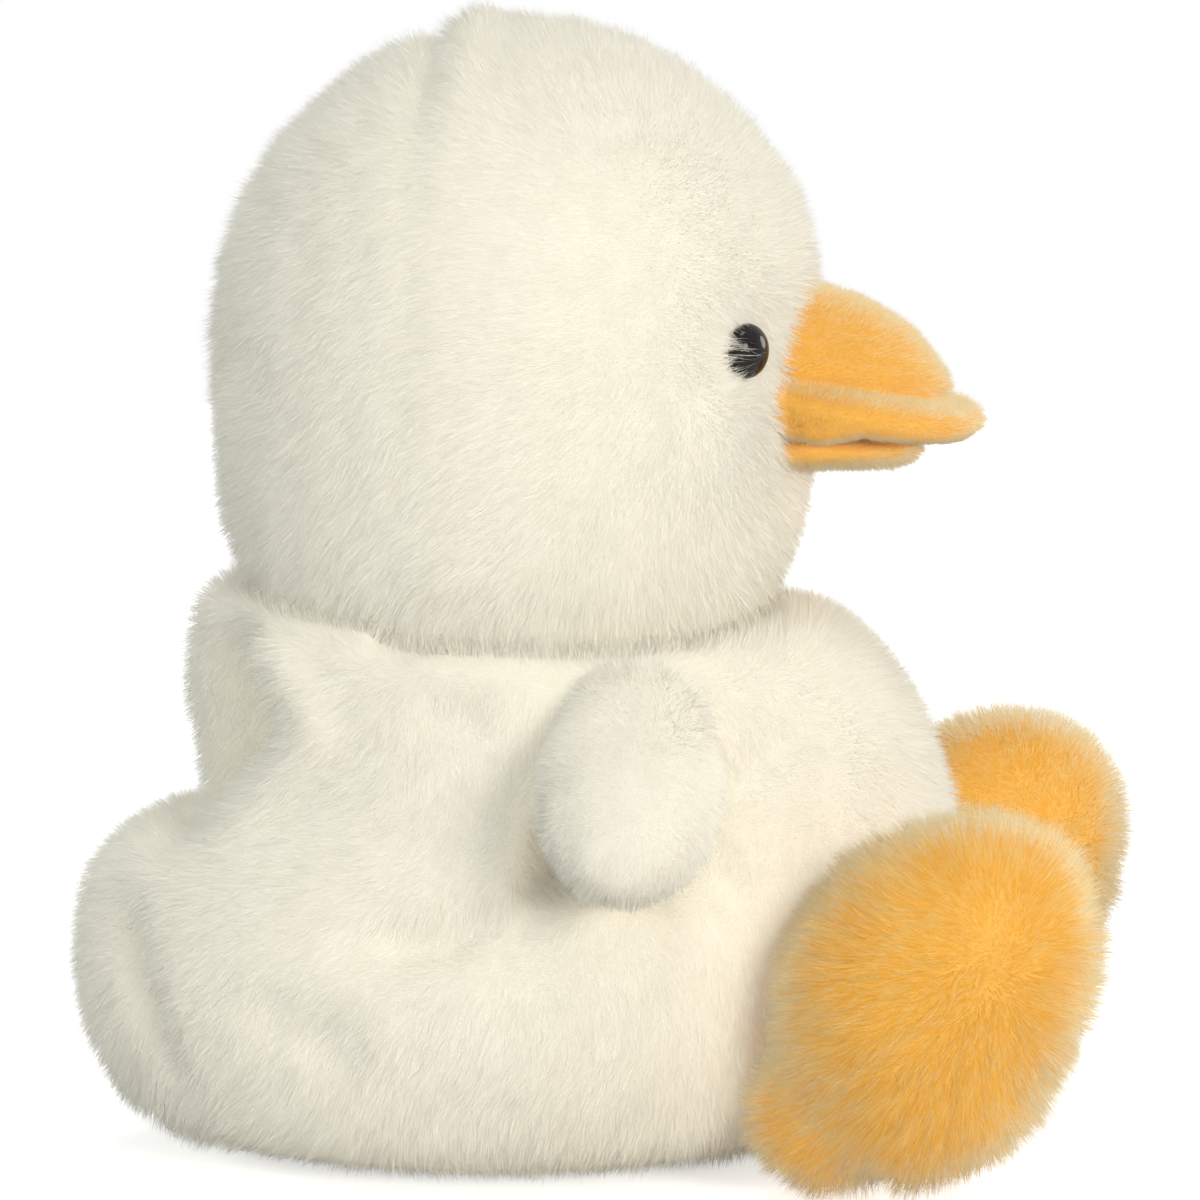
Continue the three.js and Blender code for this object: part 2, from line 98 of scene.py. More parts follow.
def through(levels, values, at):
    """A smooth curve through a table of values."""
    slope = np.gradient(values, levels)
    k = np.clip(np.searchsorted(levels, at) - 1, 0, len(levels) - 2)
    step = levels[k + 1] - levels[k]
    t = np.clip((at - levels[k]) / step, 0, 1)
    start = (2 * t**3 - 3 * t**2 + 1) * values[k] + (t**3 - 2 * t**2 + t) * slope[k] * step
    return start + (3 * t**2 - 2 * t**3) * values[k + 1] + (t**3 - t**2) * slope[k + 1] * step


def unit(vectors):
    return vectors / np.maximum(np.linalg.norm(vectors, axis=-1, keepdims=True), 1e-9)


def dot(a, b):
    return np.sum(np.asarray(a) * np.asarray(b), axis=-1, keepdims=True)


def body_wall(z, around, inset):
    """A point of the body's side at a height and an angle from straight ahead."""
    front, back, half = (through(BODY_LEVELS, v, z) for v in (BODY_FRONT, BODY_BACK, BODY_HALF))
    inset = inset * (1 - 0.6 * np.clip((z - 46) / 12, 0, 1) * np.clip(1 - 2 * np.cos(around), 0, 1))
    reach = (front + back) / 2 - inset
    x = (half - inset) * np.sin(around)
    y = NECK[1] - (front - back) / 2 - reach * np.cos(around)
    return np.stack([x, y, z * np.ones_like(x)], -1)


def body_rim(around, inset):
    """The height at which the body's side runs into the hollow under the head."""
    low, high = np.full_like(around, 44.2), np.full_like(around, 72.0)
    for _ in range(30):
        middle = (low + high) / 2
        out = np.linalg.norm(body_wall(middle, around, inset) - NECK, axis=-1) > BOWL_RADIUS
        low, high = np.where(out, middle, low), np.where(out, high, middle)
    return low - 3.2 * np.clip(1.5 * np.cos(around) - 0.2, 0, 1)


def body_form(up, around, inset, floor):
    base, wall = BASE_SHARE, RIM_SHARE
    rim = body_rim(around, inset)
    z = floor + (rim - floor) * np.clip((up - base) / (wall - base), 0, 1)
    points = body_wall(z, around, inset)
    inward = np.clip(up / base, 0, 1)[:, None]
    points = np.array([0, NECK[1], floor]) * (1 - inward) + points * inward
    ways = unit(body_wall(rim, around, inset) - NECK)
    level = unit(ways * [1, 1, 0])
    down = np.arccos(-ways[:, 2]) * (1 - np.clip((up - wall) / (1 - wall), 0, 1))
    bowl = NECK + BOWL_RADIUS * (level * np.sin(down)[:, None] - [0, 0, 1] * np.cos(down)[:, None])
    return np.where((up > wall)[:, None], bowl, points)


def bezier(a, b, c, d, steps=24):
    t = np.linspace(0, 1, steps)[:, None]
    a, b, c, d = (np.array(p, float) for p in (a, b, c, d))
    return (1 - t) ** 3 * a + 3 * t * (1 - t) ** 2 * b + 3 * t**2 * (1 - t) * c + t**3 * d


def arc(middle, wide, tall, start, end, steps=40):
    t = np.radians(np.linspace(start, end, steps))
    return np.stack([wide * np.cos(t), middle + tall * np.sin(t)], -1)


def along_outline(outline, share):
    """The points of an outline of (radius, height) at shares of its length."""
    run = np.concatenate([[0], np.cumsum(np.linalg.norm(np.diff(outline, axis=0), axis=1))])
    return np.stack([np.interp(share * run[-1], run, outline[:, k]) for k in (0, 1)], -1)


def head_form(up, around, inset):
    seat, dome = SEAT_RADIUS - inset, HEAD_RADIUS - inset
    end = math.radians(SEAT_END)
    cheek = (HEAD_Z - NECK[2]) / 2
    low = (seat * math.cos(end), NECK[2] - seat * math.sin(end))
    side = bezier(
        low,
        (low[0] + cheek * math.sin(end), low[1] + cheek * math.cos(end)),
        (dome, HEAD_Z - cheek),
        (dome, HEAD_Z),
    )
    outline = np.concatenate([arc(NECK[2], seat, seat, -90, -SEAT_END), side, arc(HEAD_Z, dome, dome, 0, 90)])
    radius, height = along_outline(outline, up).T
    return np.stack([radius * np.sin(around), NECK[1] - radius * np.cos(around), height], -1)


def limb_form(limb, up, around, inset):
    root, swell, swell_at = limb["root"] - inset, limb["swell"] - inset, limb["swell_at"]
    outline = np.concatenate(
        [
            arc(0, root, root, -90, 0),
            bezier((root, 0), (root, swell_at / 3), (swell, swell_at / 2), (swell, swell_at)),
            arc(swell_at, swell, limb["length"] - inset - swell_at, 0, 90),
        ]
    )
    radius, run = along_outline(outline, up).T
    across = (limb["swell"] * limb["ratio"] - inset) / swell
    return np.stack([run, radius * np.sin(around) * across, -radius * np.cos(around)], -1)


def limb_frame(place, along, turning, side):
    """The frame of a limb: its first axis runs along it, and it turns on its second."""
    flip = np.array([side, 1, 1])
    along, place = unit(np.array(along) * flip), np.array(place) * flip
    turning = unit(np.array(turning) * [1, side, 1])
    return np.stack([along, turning, np.cross(along, turning)], -1), place


# Building pieces


def ball(columns, rows):
    """A ball to shape, with each vertex's share of the way up and its angle from straight ahead."""
    bm = bmesh.new()
    bmesh.ops.create_uvsphere(bm, u_segments=columns, v_segments=rows, radius=1)
    places = np.array([v.co for v in bm.verts])
    up = 1 - np.arccos(np.clip(places[:, 2], -1, 1)) / np.pi
    return bm, up, np.arctan2(places[:, 0], -places[:, 1])


def shape(bm, points):
    for v, p in zip(bm.verts, points):
        v.co = p * MM


def make(bm, name):
    bmesh.ops.recalc_face_normals(bm, faces=bm.faces[:])
    mesh = bpy.data.meshes.new(name)
    bm.to_mesh(mesh)
    bm.free()
    return put(mesh, name)


def put(mesh, name):
    piece = bpy.data.objects.new(name, mesh)
    bpy.context.scene.collection.objects.link(piece)
    return piece


def settle(piece):
    """Applies a piece's modifiers as they stand."""
    graph = bpy.context.evaluated_depsgraph_get()
    mesh = bpy.data.meshes.new_from_object(piece.evaluated_get(graph))
    piece.modifiers.clear()
    old, piece.data = piece.data, mesh
    bpy.data.meshes.remove(old)


def places_of(mesh):
    co = np.empty(len(mesh.vertices) * 3, np.float32)
    mesh.vertices.foreach_get("co", co)
    return co.reshape(-1, 3).astype(float) / MM


def normals_of(mesh):
    n = np.empty(len(mesh.vertices) * 3, np.float32)
    mesh.vertex_normals.foreach_get("vector", n)
    return n.reshape(-1, 3).astype(float)


def move(mesh, points):
    mesh.vertices.foreach_set("co", (points * MM).astype(np.float32).ravel())
    mesh.update()


def dress(piece, body, finish, slot, *nodes):
    piece.data.materials.clear()
    piece.data.materials.append(finish)
    piece.data.shade_smooth()
    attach(piece, body)
    if nodes:
        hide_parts(*nodes)
    return piece


# Stuffing: a skin is evened out, blown up as cloth and smoothed


def stuff(piece, voxel, most, held=None, fineness=2):
    """Swells a skin under pressure, by at most so many millimetres, and less where it is held."""
    remesh = piece.modifiers.new("even", "REMESH")
    remesh.mode = "VOXEL"
    remesh.voxel_size = voxel * MM
    settle(piece)
    before = places_of(piece.data)
    swell_cloth(piece)
    moved = places_of(piece.data) - before
    reach = np.linalg.norm(moved, axis=1, keepdims=True)
    moved *= np.minimum(1, most / np.maximum(reach, 1e-9))
    if held is not None:
        moved *= 1 - np.clip(held(before), 0, 1)[:, None]
    move(piece.data, before + moved)
    smooth = piece.modifiers.new("smooth", "SUBSURF")
    smooth.levels = smooth.render_levels = fineness
    settle(piece)


def swell_cloth(piece):
    cloth = piece.modifiers.new("swell", "CLOTH")
    cloth.settings.use_pressure = True
    cloth.settings.uniform_pressure_force = 4
    cloth.settings.effector_weights.gravity = 0
    cloth.collision_settings.use_collision = False
    cloth.point_cache.frame_start = 1
    cloth.point_cache.frame_end = 20
    for number in range(1, 21):
        bpy.context.scene.frame_set(number)
    settle(piece)
    bpy.context.scene.frame_set(1)


# Folds and seams, pressed into a stuffed skin


def from_line(points, normals, line):
    """How far points lie from a line of points, along the surface, and the share of the line they lie at."""
    best, share = np.full(len(points), np.inf), np.zeros(len(points))
    pieces = len(line) - 1
    for k, (a, b) in enumerate(zip(np.array(line[:-1], float), np.array(line[1:], float))):
        t = np.clip(((points - a) @ (b - a)) / ((b - a) @ (b - a)), 0, 1)
        off = points - a - t[:, None] * (b - a)
        above = dot(off, normals)
        off += normals * (np.sign(above) * np.maximum(np.abs(above) - 4, 0) - above)
        off = np.linalg.norm(off, axis=1)
        share = np.where(off < best, (k + t) / pieces, share)
        best = np.minimum(best, off)
    return best, share


def fold(points, normals, line, depth, width):
    """A groove along a line, which runs out at both ends."""
    off, share = from_line(points, normals, line)
    depth = depth * np.clip(share / 0.25, 0.15, 1) * np.clip((1 - share) / 0.25, 0.15, 1)
    return -normals * (depth * np.exp(-((off / width) ** 2)))[:, None]


def bulge(points, normals, middle, height, radius):
    off = np.linalg.norm(points - np.array(middle), axis=1)
    return normals * (height * np.exp(-((off / radius) ** 2)))[:, None]


def pocket(points, normals, edge, depth, run, lip):
    """A pocket pushed into the right side, to the left of an edge of (y, z) points, which rolls up round it."""
    within = np.full(len(points), np.inf)
    for a, b in zip(np.array(edge[:-1], float), np.array(edge[1:], float)):
        way = (b - a) / np.linalg.norm(b - a)
        within = np.minimum(within, (points[:, 1:] - a) @ np.array([-way[1], way[0]]))
    t = np.clip(within / run, 0, 1)
    side = np.clip((-points[:, 0] - 3) / 16, 0, 1)
    side = side * side * (3 - 2 * side)
    rolled = lip * np.exp(-(((within + 2) / 2.2) ** 2))
    inward = unit(np.array([0.7, 0, 0]) - 0.7 * normals)
    return inward * (side * depth * t * t * (3 - 2 * t))[:, None] + normals * (side * rolled)[:, None]


# Folds of the right side, mirrored on the left: points, depth and width
BODY_FOLDS = [
    ([(-12, 53, 30), (-21.0, 50.1, 26.5), (-25.2, 48.2, 19.6), (-27.5, 44, 9)], 3.8, 2.9),
    ([(-33, 26, 27.5), (-38.8, 14, 29.4), (-39.0, 6.2, 30.9), (-37, -3, 32.6)], 3.0, 3.4),
    ([(-36.6, -8.5, 33.6), (-33.2, -14.6, 36.4), (-30.1, -20.8, 38.1)], 2.0, 4.0),
    ([(-30.9, -16.0, 41.9), (-27.9, -19.5, 45.8), (-23.7, -23.5, 49.0), (-17.4, -27.4, 53.0)], 2.6, 4.0),
    ([(-34.3, 35.9, 21.5), (-38.1, 27.8, 18.6), (-39.1, 20.2, 14.6)], 1.3, 3.6),
    ([(-30.4, 17.9, 53.3), (-31.2, 12.4, 52.7), (-32.1, 6.9, 51.5)], 1.1, 2.2),
    ([(-14, 45, 39), (14, 45, 39)], 1.2, 2.8),
]
BODY_BULGES = [
    ((-39, 2, 22), 1.0, 12),
    ((-20, -34, 47), 1.0, 9),
    ((0, 55, 29), 0.5, 7),
]
# Pockets: the edge in side view, depth, run-in, the roll of the edge and the height they end at
BODY_POCKETS = [
    ([(36.5, 63), (29.3, 49.5), (40.5, 35.5)], 9.0, 3.2, 1.6, 34),
    ([(-14, 35), (4.0, 32.3), (3.5, 40), (-4, 49)], 10.0, 3.2, 1.0, 20),
]


def fold_body(mesh):
    points, normals = places_of(mesh), normals_of(mesh)
    moves = np.zeros_like(points)
    for side in (1, -1):
        here, facing = points * [side, 1, 1], normals * [side, 1, 1]
        for line, depth, width in BODY_FOLDS:
            moves += fold(here, facing, line, depth, width) * [side, 1, 1]
        for middle, height, radius in BODY_BULGES:
            moves += bulge(here, facing, middle, height, radius) * [side, 1, 1]
        for edge, depth, run, lip, low in BODY_POCKETS:
            fade = np.clip((64 - here[:, 2]) / 6, 0, 1) * 0.5 * (1 + np.tanh((here[:, 1] + 10) / 4))
            fade *= 0.5 * (1 + np.tanh((here[:, 2] - low - 3) / 2))
            moves += pocket(here, facing, edge, depth, run, lip) * fade[:, None] * [side, 1, 1]
    free = np.clip((np.linalg.norm(points - NECK, axis=1) - BOWL_RADIUS - 1.5) / 4, 0, 1)
    free *= np.clip((points[:, 2] - 2) / 4, 0, 1)
    move(mesh, points + moves * free[:, None])


def soften(mesh, wanted, times):
    """Smooths the wanted part of a skin."""
    bm = bmesh.new()
    bm.from_mesh(mesh)
    chosen = [v for v, use in zip(bm.verts, wanted(places_of(mesh))) if use]
    for _ in range(times):
        bmesh.ops.smooth_vert(bm, verts=chosen, factor=0.5, use_axis_x=True, use_axis_y=True, use_axis_z=True)
    bm.to_mesh(mesh)
    bm.free()
    mesh.update()


def eye_way(side):
    yaw = math.radians(EYE_YAW)
    return np.array([side * math.sin(yaw), -math.cos(yaw), 0])


def eye_middle(side, out):
    return np.array([0, NECK[1], EYE_Z]) + eye_way(side) * out


def fold_head(mesh):
    points, normals = places_of(mesh), normals_of(mesh)
    crown = np.clip((points[:, 2] - 78) / 44, 0, 1)
    behind = points[:, 1] - HEAD_SEAM_Y
    notch = (0.12 + 1.8 * crown**7) * np.exp(-(((behind - 2.9) / 2.2) ** 2))
    ridge = (0.05 + 1.3 * crown**7) * np.exp(-(((behind + 0.6) / 2.6) ** 2))
    moves = normals * (ridge - notch)[:, None]
    for side in (1, -1):
        moves += bulge(points, normals, eye_middle(side, 31), -1.5, 6)
        moves += bulge(points, normals, (side * 21, -14, 82), 1.0, 8)
    moves += bulge(points, normals, (0, FACE_Y, 85), -1.2, 12)
    moves += bulge(points, normals, (0, 31, 116), -1.2, 15)
    moves += bulge(points, normals, (0, -24, 101), 0.8, 11)
    moves += bulge(points, normals, (0, -22, 73), 1.0, 8)
    moves += bulge(points, normals, (0, 40, 69), 1.3, 7)
    moves[np.linalg.norm(points - NECK, axis=1) < 25] = 0
    move(mesh, points + moves)


# Materials


def new_group(name, inputs, outputs):
    group = bpy.data.node_groups.new(name, "ShaderNodeTree")
    for label, kind, value in inputs:
        socket = group.interface.new_socket(label, in_out="INPUT", socket_type=kind)
        socket.default_value = value
    for label, kind in outputs:
        group.interface.new_socket(label, in_out="OUTPUT", socket_type=kind)
    ends = group.nodes.new("NodeGroupInput"), group.nodes.new("NodeGroupOutput")
    return group, *ends


def mix_colours(tree, mode, factor, a, b):
    """A Mix node of colours. Each of factor, a and b is a socket or a value."""
    node = tree.nodes.new("ShaderNodeMix")
    node.data_type = "RGBA"
    node.blend_type = mode
    for index, value in ((0, factor), (6, a), (7, b)):
        if isinstance(value, bpy.types.NodeSocket):
            tree.links.new(value, node.inputs[index])
        else:
            node.inputs[index].default_value = value
    return node.outputs[2]


def noise(tree, place, scale, detail=2):
    node = tree.nodes.new("ShaderNodeTexNoise")
    node.inputs["Scale"].default_value = scale
    node.inputs["Detail"].default_value = detail
    tree.links.new(place, node.inputs["Vector"])
    return node.outputs["Fac"]


def spread(tree, value, low, high, to_low=0.0, to_high=1.0):
    node = tree.nodes.new("ShaderNodeMapRange")
    tree.links.new(value, node.inputs["Value"])
    for label, number in (("From Min", low), ("From Max", high), ("To Min", to_low), ("To Max", to_high)):
        node.inputs[label].default_value = number
    return node.outputs["Result"]


def pile_tint_and_painted_shade_group():
    """Colour along a strand: its root, its length and its tip, with each strand a little lighter or darker. Darker
    towards the root is painted shade, for the shade deep in the pile; on the orange piles the pale tips are painted
    light that comes through them.
    """
    colours = [("Root", (0.5, 0.5, 0.5, 1)), ("Length", (0.8, 0.8, 0.8, 1)), ("Tip", (1, 1, 1, 1))]
    inputs = [(label, "NodeSocketColor", value) for label, value in colours]
    inputs += [("Dark Strand", "NodeSocketColor", (0.8, 0.8, 0.8, 1))]
    group, start, end = new_group("pile_tint", inputs, [("Color", "NodeSocketColor")])
    place = group.nodes.new("ShaderNodeUVMap")
    place.uv_map = "strand"
    parts = group.nodes.new("ShaderNodeSeparateXYZ")
    group.links.new(place.outputs["UV"], parts.inputs[0])
    up = parts.outputs["Y"]
    lower = mix_colours(
        group, "MIX", spread(group, up, 0, 0.45), start.outputs["Root"], start.outputs["Length"]
    )
    whole = mix_colours(group, "MIX", spread(group, up, 0.5, 0.95), lower, start.outputs["Tip"])
    tone = mix_colours(
        group, "MIX", spread(group, parts.outputs["X"], 0, 1), start.outputs["Dark Strand"], (1, 1, 1, 1)
    )
    group.links.new(mix_colours(group, "MULTIPLY", 1.0, whole, tone), end.inputs["Color"])
    return group


def knit_group():
    """The knitted backing under the pile: blotches of colour and fine rows of loops."""
    inputs = [("Cloth", "NodeSocketColor", (0.8, 0.8, 0.8, 1)), ("Shade", "NodeSocketColor", (0.6, 0.6, 0.6, 1))]
    outputs = [("Color", "NodeSocketColor"), ("Height", "NodeSocketFloat")]
    group, start, end = new_group("knit_backing", inputs, outputs)
    place = group.nodes.new("ShaderNodeTexCoord").outputs["Object"]
    blotch = spread(group, noise(group, place, 260), 0.35, 0.65)
    group.links.new(
        mix_colours(group, "MIX", blotch, start.outputs["Shade"], start.outputs["Cloth"]), end.inputs["Color"]
    )
    rows = group.nodes.new("ShaderNodeTexWave")
    rows.bands_direction = "Z"
    rows.inputs["Scale"].default_value = 1300
    rows.inputs["Distortion"].default_value = 3
    group.links.new(place, rows.inputs["Vector"])
    group.links.new(rows.outputs["Fac"], end.inputs["Height"])
    return group


def finish(name, roughness, **sockets):
    """A material with its Principled shader. Socket names have _ for a space."""
    material = bpy.data.materials.new(name)
    material.use_nodes = True
    shader = material.node_tree.nodes["Principled BSDF"]
    shader.inputs["Roughness"].default_value = roughness
    for label, value in sockets.items():
        shader.inputs[label.replace("_", " ")].default_value = value
    return material, material.node_tree, shader


def bump(tree, shader, height, strength, distance):
    node = tree.nodes.new("ShaderNodeBump")
    node.inputs["Strength"].default_value = strength
    node.inputs["Distance"].default_value = distance * MM
    tree.links.new(height, node.inputs["Height"])
    tree.links.new(node.outputs["Normal"], shader.inputs["Normal"])


PILE_TINT_AND_PAINTED_SHADE = pile_tint_and_painted_shade_group()
KNIT = knit_group()


def pile_finish(name, root, length, tip, dark, sheen, rim=None):
    """Plush pile. Its rim colour is that of pile seen from the side, where light comes through the tips."""
    material, tree, shader = finish(name, 0.62, Sheen_Weight=sheen, Sheen_Roughness=0.4, Sheen_Tint=(1, 0.93, 0.78, 1))
    shader.inputs["Specular IOR Level"].default_value = 0
    tint = tree.nodes.new("ShaderNodeGroup")
    tint.node_tree = PILE_TINT_AND_PAINTED_SHADE
    for label, colour in zip(("Root", "Length", "Tip", "Dark Strand"), (root, length, tip, dark)):
        tint.inputs[label].default_value = (*colour, 1)
    colour = tint.outputs["Color"]
    if rim:
        aside = spread(tree, tree.nodes.new("ShaderNodeLayerWeight").outputs["Facing"], 0.3, 0.8, 0, 0.8)
        colour = mix_colours(tree, "MIX", aside, colour, (*rim, 1))
    tree.links.new(colour, shader.inputs["Base Color"])
    return material


def backing_finish(name, cloth, shade):
    material, tree, shader = finish(name, 0.95)
    knit = tree.nodes.new("ShaderNodeGroup")
    knit.node_tree = KNIT
    knit.inputs["Cloth"].default_value = (*cloth, 1)
    knit.inputs["Shade"].default_value = (*shade, 1)
    tree.links.new(knit.outputs["Color"], shader.inputs["Base Color"])
    bump(tree, shader, knit.outputs["Height"], 0.3, 0.1)
    return material


def mottled_finish(name, pale, dark, scale, roughness, depth):
    """A plain procedural finish with soft blotches and a matching relief."""
    material, tree, shader = finish(name, roughness)
    place = tree.nodes.new("ShaderNodeTexCoord").outputs["Object"]
    blotch = noise(tree, place, scale, 4)
    colour = mix_colours(tree, "MIX", spread(tree, blotch, 0.3, 0.7), (*dark, 1), (*pale, 1))
    tree.links.new(colour, shader.inputs["Base Color"])
    bump(tree, shader, blotch, 0.6, depth)
    return material


def eye_finish():
    material, tree, shader = finish("polished_eye", 0.06, Specular_IOR_Level=0.2)
    place = tree.nodes.new("ShaderNodeTexCoord").outputs["Object"]
    swirl = noise(tree, place, 900, 3)
    colour = mix_colours(
        tree, "MIX", spread(tree, swirl, 0.35, 0.7), (0.006, 0.005, 0.006, 1), (0.018, 0.013, 0.011, 1)
    )
    tree.links.new(colour, shader.inputs["Base Color"])
    tree.links.new(spread(tree, noise(tree, place, 300), 0.3, 0.7, 0.04, 0.1), shader.inputs["Roughness"])
    return material


# The darker root and length colours are painted shade, for the shade deep in the pile; the pale orange tips are
# painted light that comes through them.
WHITE_PILE = pile_finish(
    "white_pile", (0.84, 0.785, 0.64), (0.945, 0.895, 0.755), (0.965, 0.925, 0.8), (0.94, 0.94, 0.93), 0.1
)
ORANGE_PILE = pile_finish(
    "orange_pile", (0.86, 0.36, 0.035), (0.92, 0.46, 0.07), (0.96, 0.75, 0.36), (0.9, 0.84, 0.74), 0.3,
    (0.97, 0.84, 0.52),
)
BILL_PILE_FINISH = pile_finish(
    "bill_pile", (0.86, 0.36, 0.04), (0.94, 0.46, 0.08), (0.96, 0.73, 0.34), (0.92, 0.87, 0.78), 0.3,
    (0.97, 0.84, 0.52),
)
FLAP_PILE_FINISH = pile_finish(
    "flap_pile", (0.82, 0.42, 0.09), (0.9, 0.53, 0.15), (0.95, 0.77, 0.42), (0.92, 0.87, 0.78), 0.3,
    (0.97, 0.86, 0.58),
)
WHITE_BACKING = backing_finish("white_backing", (0.88, 0.83, 0.69), (0.82, 0.77, 0.63))
ORANGE_BACKING = backing_finish("orange_backing", (0.9, 0.48, 0.085), (0.84, 0.42, 0.07))
FIBRE = mottled_finish("fibre_fill", (0.93, 0.93, 0.91), (0.82, 0.82, 0.79), 400, 1.0, 1.2)
SACK_CLOTH = mottled_finish("sack_cloth", (0.86, 0.84, 0.77), (0.74, 0.72, 0.65), 1500, 0.95, 0.2)
PELLET_PLASTIC = mottled_finish("pellet_plastic", (0.86, 0.89, 0.9), (0.74, 0.78, 0.8), 150, 0.5, 0.1)
WASHER_PLASTIC = mottled_finish("washer_plastic", (0.84, 0.84, 0.81), (0.76, 0.76, 0.72), 700, 0.45, 0.05)
EYE_PLASTIC = eye_finish()


# Skins


def body_skin():
    bm, up, around = ball(96, 80)
    shape(bm, body_form(up, around, 2.2, 1.2))
    rim = [v for v, share in zip(bm.verts, up) if abs(share - RIM_SHARE) < 0.06]
    for _ in range(6):
        bmesh.ops.smooth_vert(bm, verts=rim, factor=0.5, use_axis_x=True, use_axis_y=True, use_axis_z=True)
    piece = make(bm, "body_skin")
    stuff(piece, 3.2, 1.2, held=lambda p: (np.linalg.norm(p - NECK, axis=1) < BOWL_RADIUS + 2) | (p[:, 2] < 4))
    fold_body(piece.data)
    soften(piece.data, lambda p: p[:, 2] > 3, 6)
    soften(piece.data, lambda p: (np.abs(np.linalg.norm(p - NECK, axis=1) - BOWL_RADIUS - 1.5) < 3.5) & (p[:, 2] > 48), 30)
    dress(
        piece, "body", WHITE_BACKING, "white_plush",
        "base_cover", "belly_cover", "back_cover", "right_side_cover", "left_side_cover",
    )
    return piece


def head_skin():
    bm, up, around = ball(96, 72)
    shape(bm, head_form(up, around, 2.0))
    piece = make(bm, "head_skin")
    stuff(piece, 3.2, 1.0, held=lambda p: p[:, 2] < 62)
    fold_head(piece.data)
    dress(piece, "head", WHITE_BACKING, "white_plush", "face_cover", "head_back_cover")
    return piece


def limb_skin(name, limb, place, inset, side, body, finish_used, slot, nodes, bulges=()):
    bm, up, around = ball(48, 40)
    turn, middle = limb_frame(*place, side)
    shape(bm, limb_form(limb, up, around, inset) @ turn.T + middle)
    piece = make(bm, name)
    stuff(piece, 2.0, 0.6, held=lambda p: ((p - middle) @ turn[:, 0] < 3) * 1.0, fineness=1)
    points, normals = places_of(piece.data), normals_of(piece.data)
    for spot, height, radius in bulges:
        points += bulge(points, normals, np.array(spot) * [side, 1, 1], height, radius)
    points[:, 2] = np.where(points[:, 2] < 1, 1 - 0.3 * np.tanh(1 - points[:, 2]), points[:, 2])
    move(piece.data, points)
    dress(piece, body, finish_used, slot, *nodes)
    return piece


def wing_skin(name, side):
    return limb_skin(
        f"{name}_wing_skin", WING, (WING_PLACE, WING_ALONG, WING_TURNING), 1.0, side, f"{name}_wing",
        WHITE_BACKING, "white_plush", [f"{name}_wing_top_cover", f"{name}_wing_under_cover"],
    )


def foot_skin(name, side):
    return limb_skin(
        f"{name}_foot_skin", FOOT, (FOOT_PLACE, FOOT_ALONG, FOOT_TURNING), 3.0, side, f"{name}_foot",
        ORANGE_BACKING, "orange_plush", [f"{name}_foot_top_cover", f"{name}_foot_sole_cover"],
        [((39, -44, 5), 3.6, 10), ((41, -34, 4), 3.2, 7)],
    )


def tilt(degrees):
    return np.array(Matrix.Rotation(math.radians(degrees), 3, "X"))


def oval_pad(bm_ball, half_width, out, into_face, thickness, droop, z, inset):
    """A flat pad with a round edge, its tip ahead of the face."""
    bm, places = bm_ball
    half_depth = (out + into_face) / 2
    flat = unit(places * [1, 1, 0])
    rise = places[:, 2]
    wide = np.linalg.norm(places[:, :2], axis=1)
    fullness = np.sign(rise) * np.abs(rise) ** 0.8
    reach = wide ** 0.45
    points = np.stack(
        [
            flat[:, 0] * reach * (half_width - inset),
            half_depth + flat[:, 1] * reach * (half_depth - inset),
            fullness * (thickness / 2 - inset),
        ],
        -1,
    )
    shape(bm, points @ tilt(droop).T + [0, FACE_Y - out, z])
    return bm


def plain_ball(columns, rows):
    bm, _, _ = ball(columns, rows)
    return bm, np.array([v.co for v in bm.verts])


def upper_bill_skin(inset=0.5):
    bm, places = plain_ball(40, 28)
    dome = places * [10.2 - inset, 16.9 - inset, 12 - inset]
    shape(bm, dome @ tilt(18).T + [0, FACE_Y - 14.9 + 16.5, 83.5])
    below = np.array([0, -math.sin(math.radians(9.5)), math.cos(math.radians(9.5))])
    cut = bmesh.ops.bisect_plane(
        bm,
        geom=bm.verts[:] + bm.edges[:] + bm.faces[:],
        plane_co=Vector((0, (FACE_Y - 17.6) * MM, 79.5 * MM)),
        plane_no=Vector(below),
        clear_inner=True,
    )
    bmesh.ops.holes_fill(bm, edges=[e for e in cut["geom_cut"] if isinstance(e, bmesh.types.BMEdge)])
    dome_mesh = bpy.data.meshes.new("dome")
    bmesh.ops.recalc_face_normals(bm, faces=bm.faces[:])
    bm.to_mesh(dome_mesh)
    bm.free()
    lip = oval_pad(plain_ball(48, 24), 14, 17.6, 12.4, 5.4, 9.5, 80.3, inset)
    lip.from_mesh(dome_mesh)
    bpy.data.meshes.remove(dome_mesh)
    piece = make(lip, "upper_bill_skin")
    stuff(piece, 0.9, 0.4, held=lambda p: (p[:, 1] > FACE_Y + 4) * 1.0, fineness=1)
    points, normals = places_of(piece.data), normals_of(piece.data)
    throat = np.clip(-normals[:, 2] * 1.5 - 0.3, 0, 1) * np.clip((points[:, 1] - FACE_Y + 5) / 5, 0, 1)
    over_lip = (points - [0, FACE_Y - 17.6, 80.3]) @ below - 2.3
    from_edge = 0.93 - np.hypot(points[:, 0] / 14, (points[:, 1] - FACE_Y + 2.6) / 15)
    crease = np.exp(-((over_lip / 1.0) ** 2)) * np.clip(1 - normals[:, 2] ** 2, 0, 1) * np.clip(from_edge / 0.1, 0, 1)
    move(piece.data, points - np.array([0, 0, 1.6]) * throat[:, None] - normals * (1.1 * crease)[:, None])
    dress(piece, "head", ORANGE_BACKING, "orange_plush", "upper_bill_cover")
    return piece


def lower_bill_skin(inset=0.6):
    piece = make(oval_pad(plain_ball(40, 20), 10.5, 11.3, 12.7, 3.8, 1, 78.1, inset), "lower_bill_skin")
    stuff(piece, 0.9, 0.3, held=lambda p: (p[:, 1] > FACE_Y + 4) * 1.0, fineness=1)
    dress(piece, "lower_bill", ORANGE_BACKING, "orange_plush", "lower_bill_cover")
    return piece


# Pile: each strand is a thin three-sided spike that leans the way the plush is combed


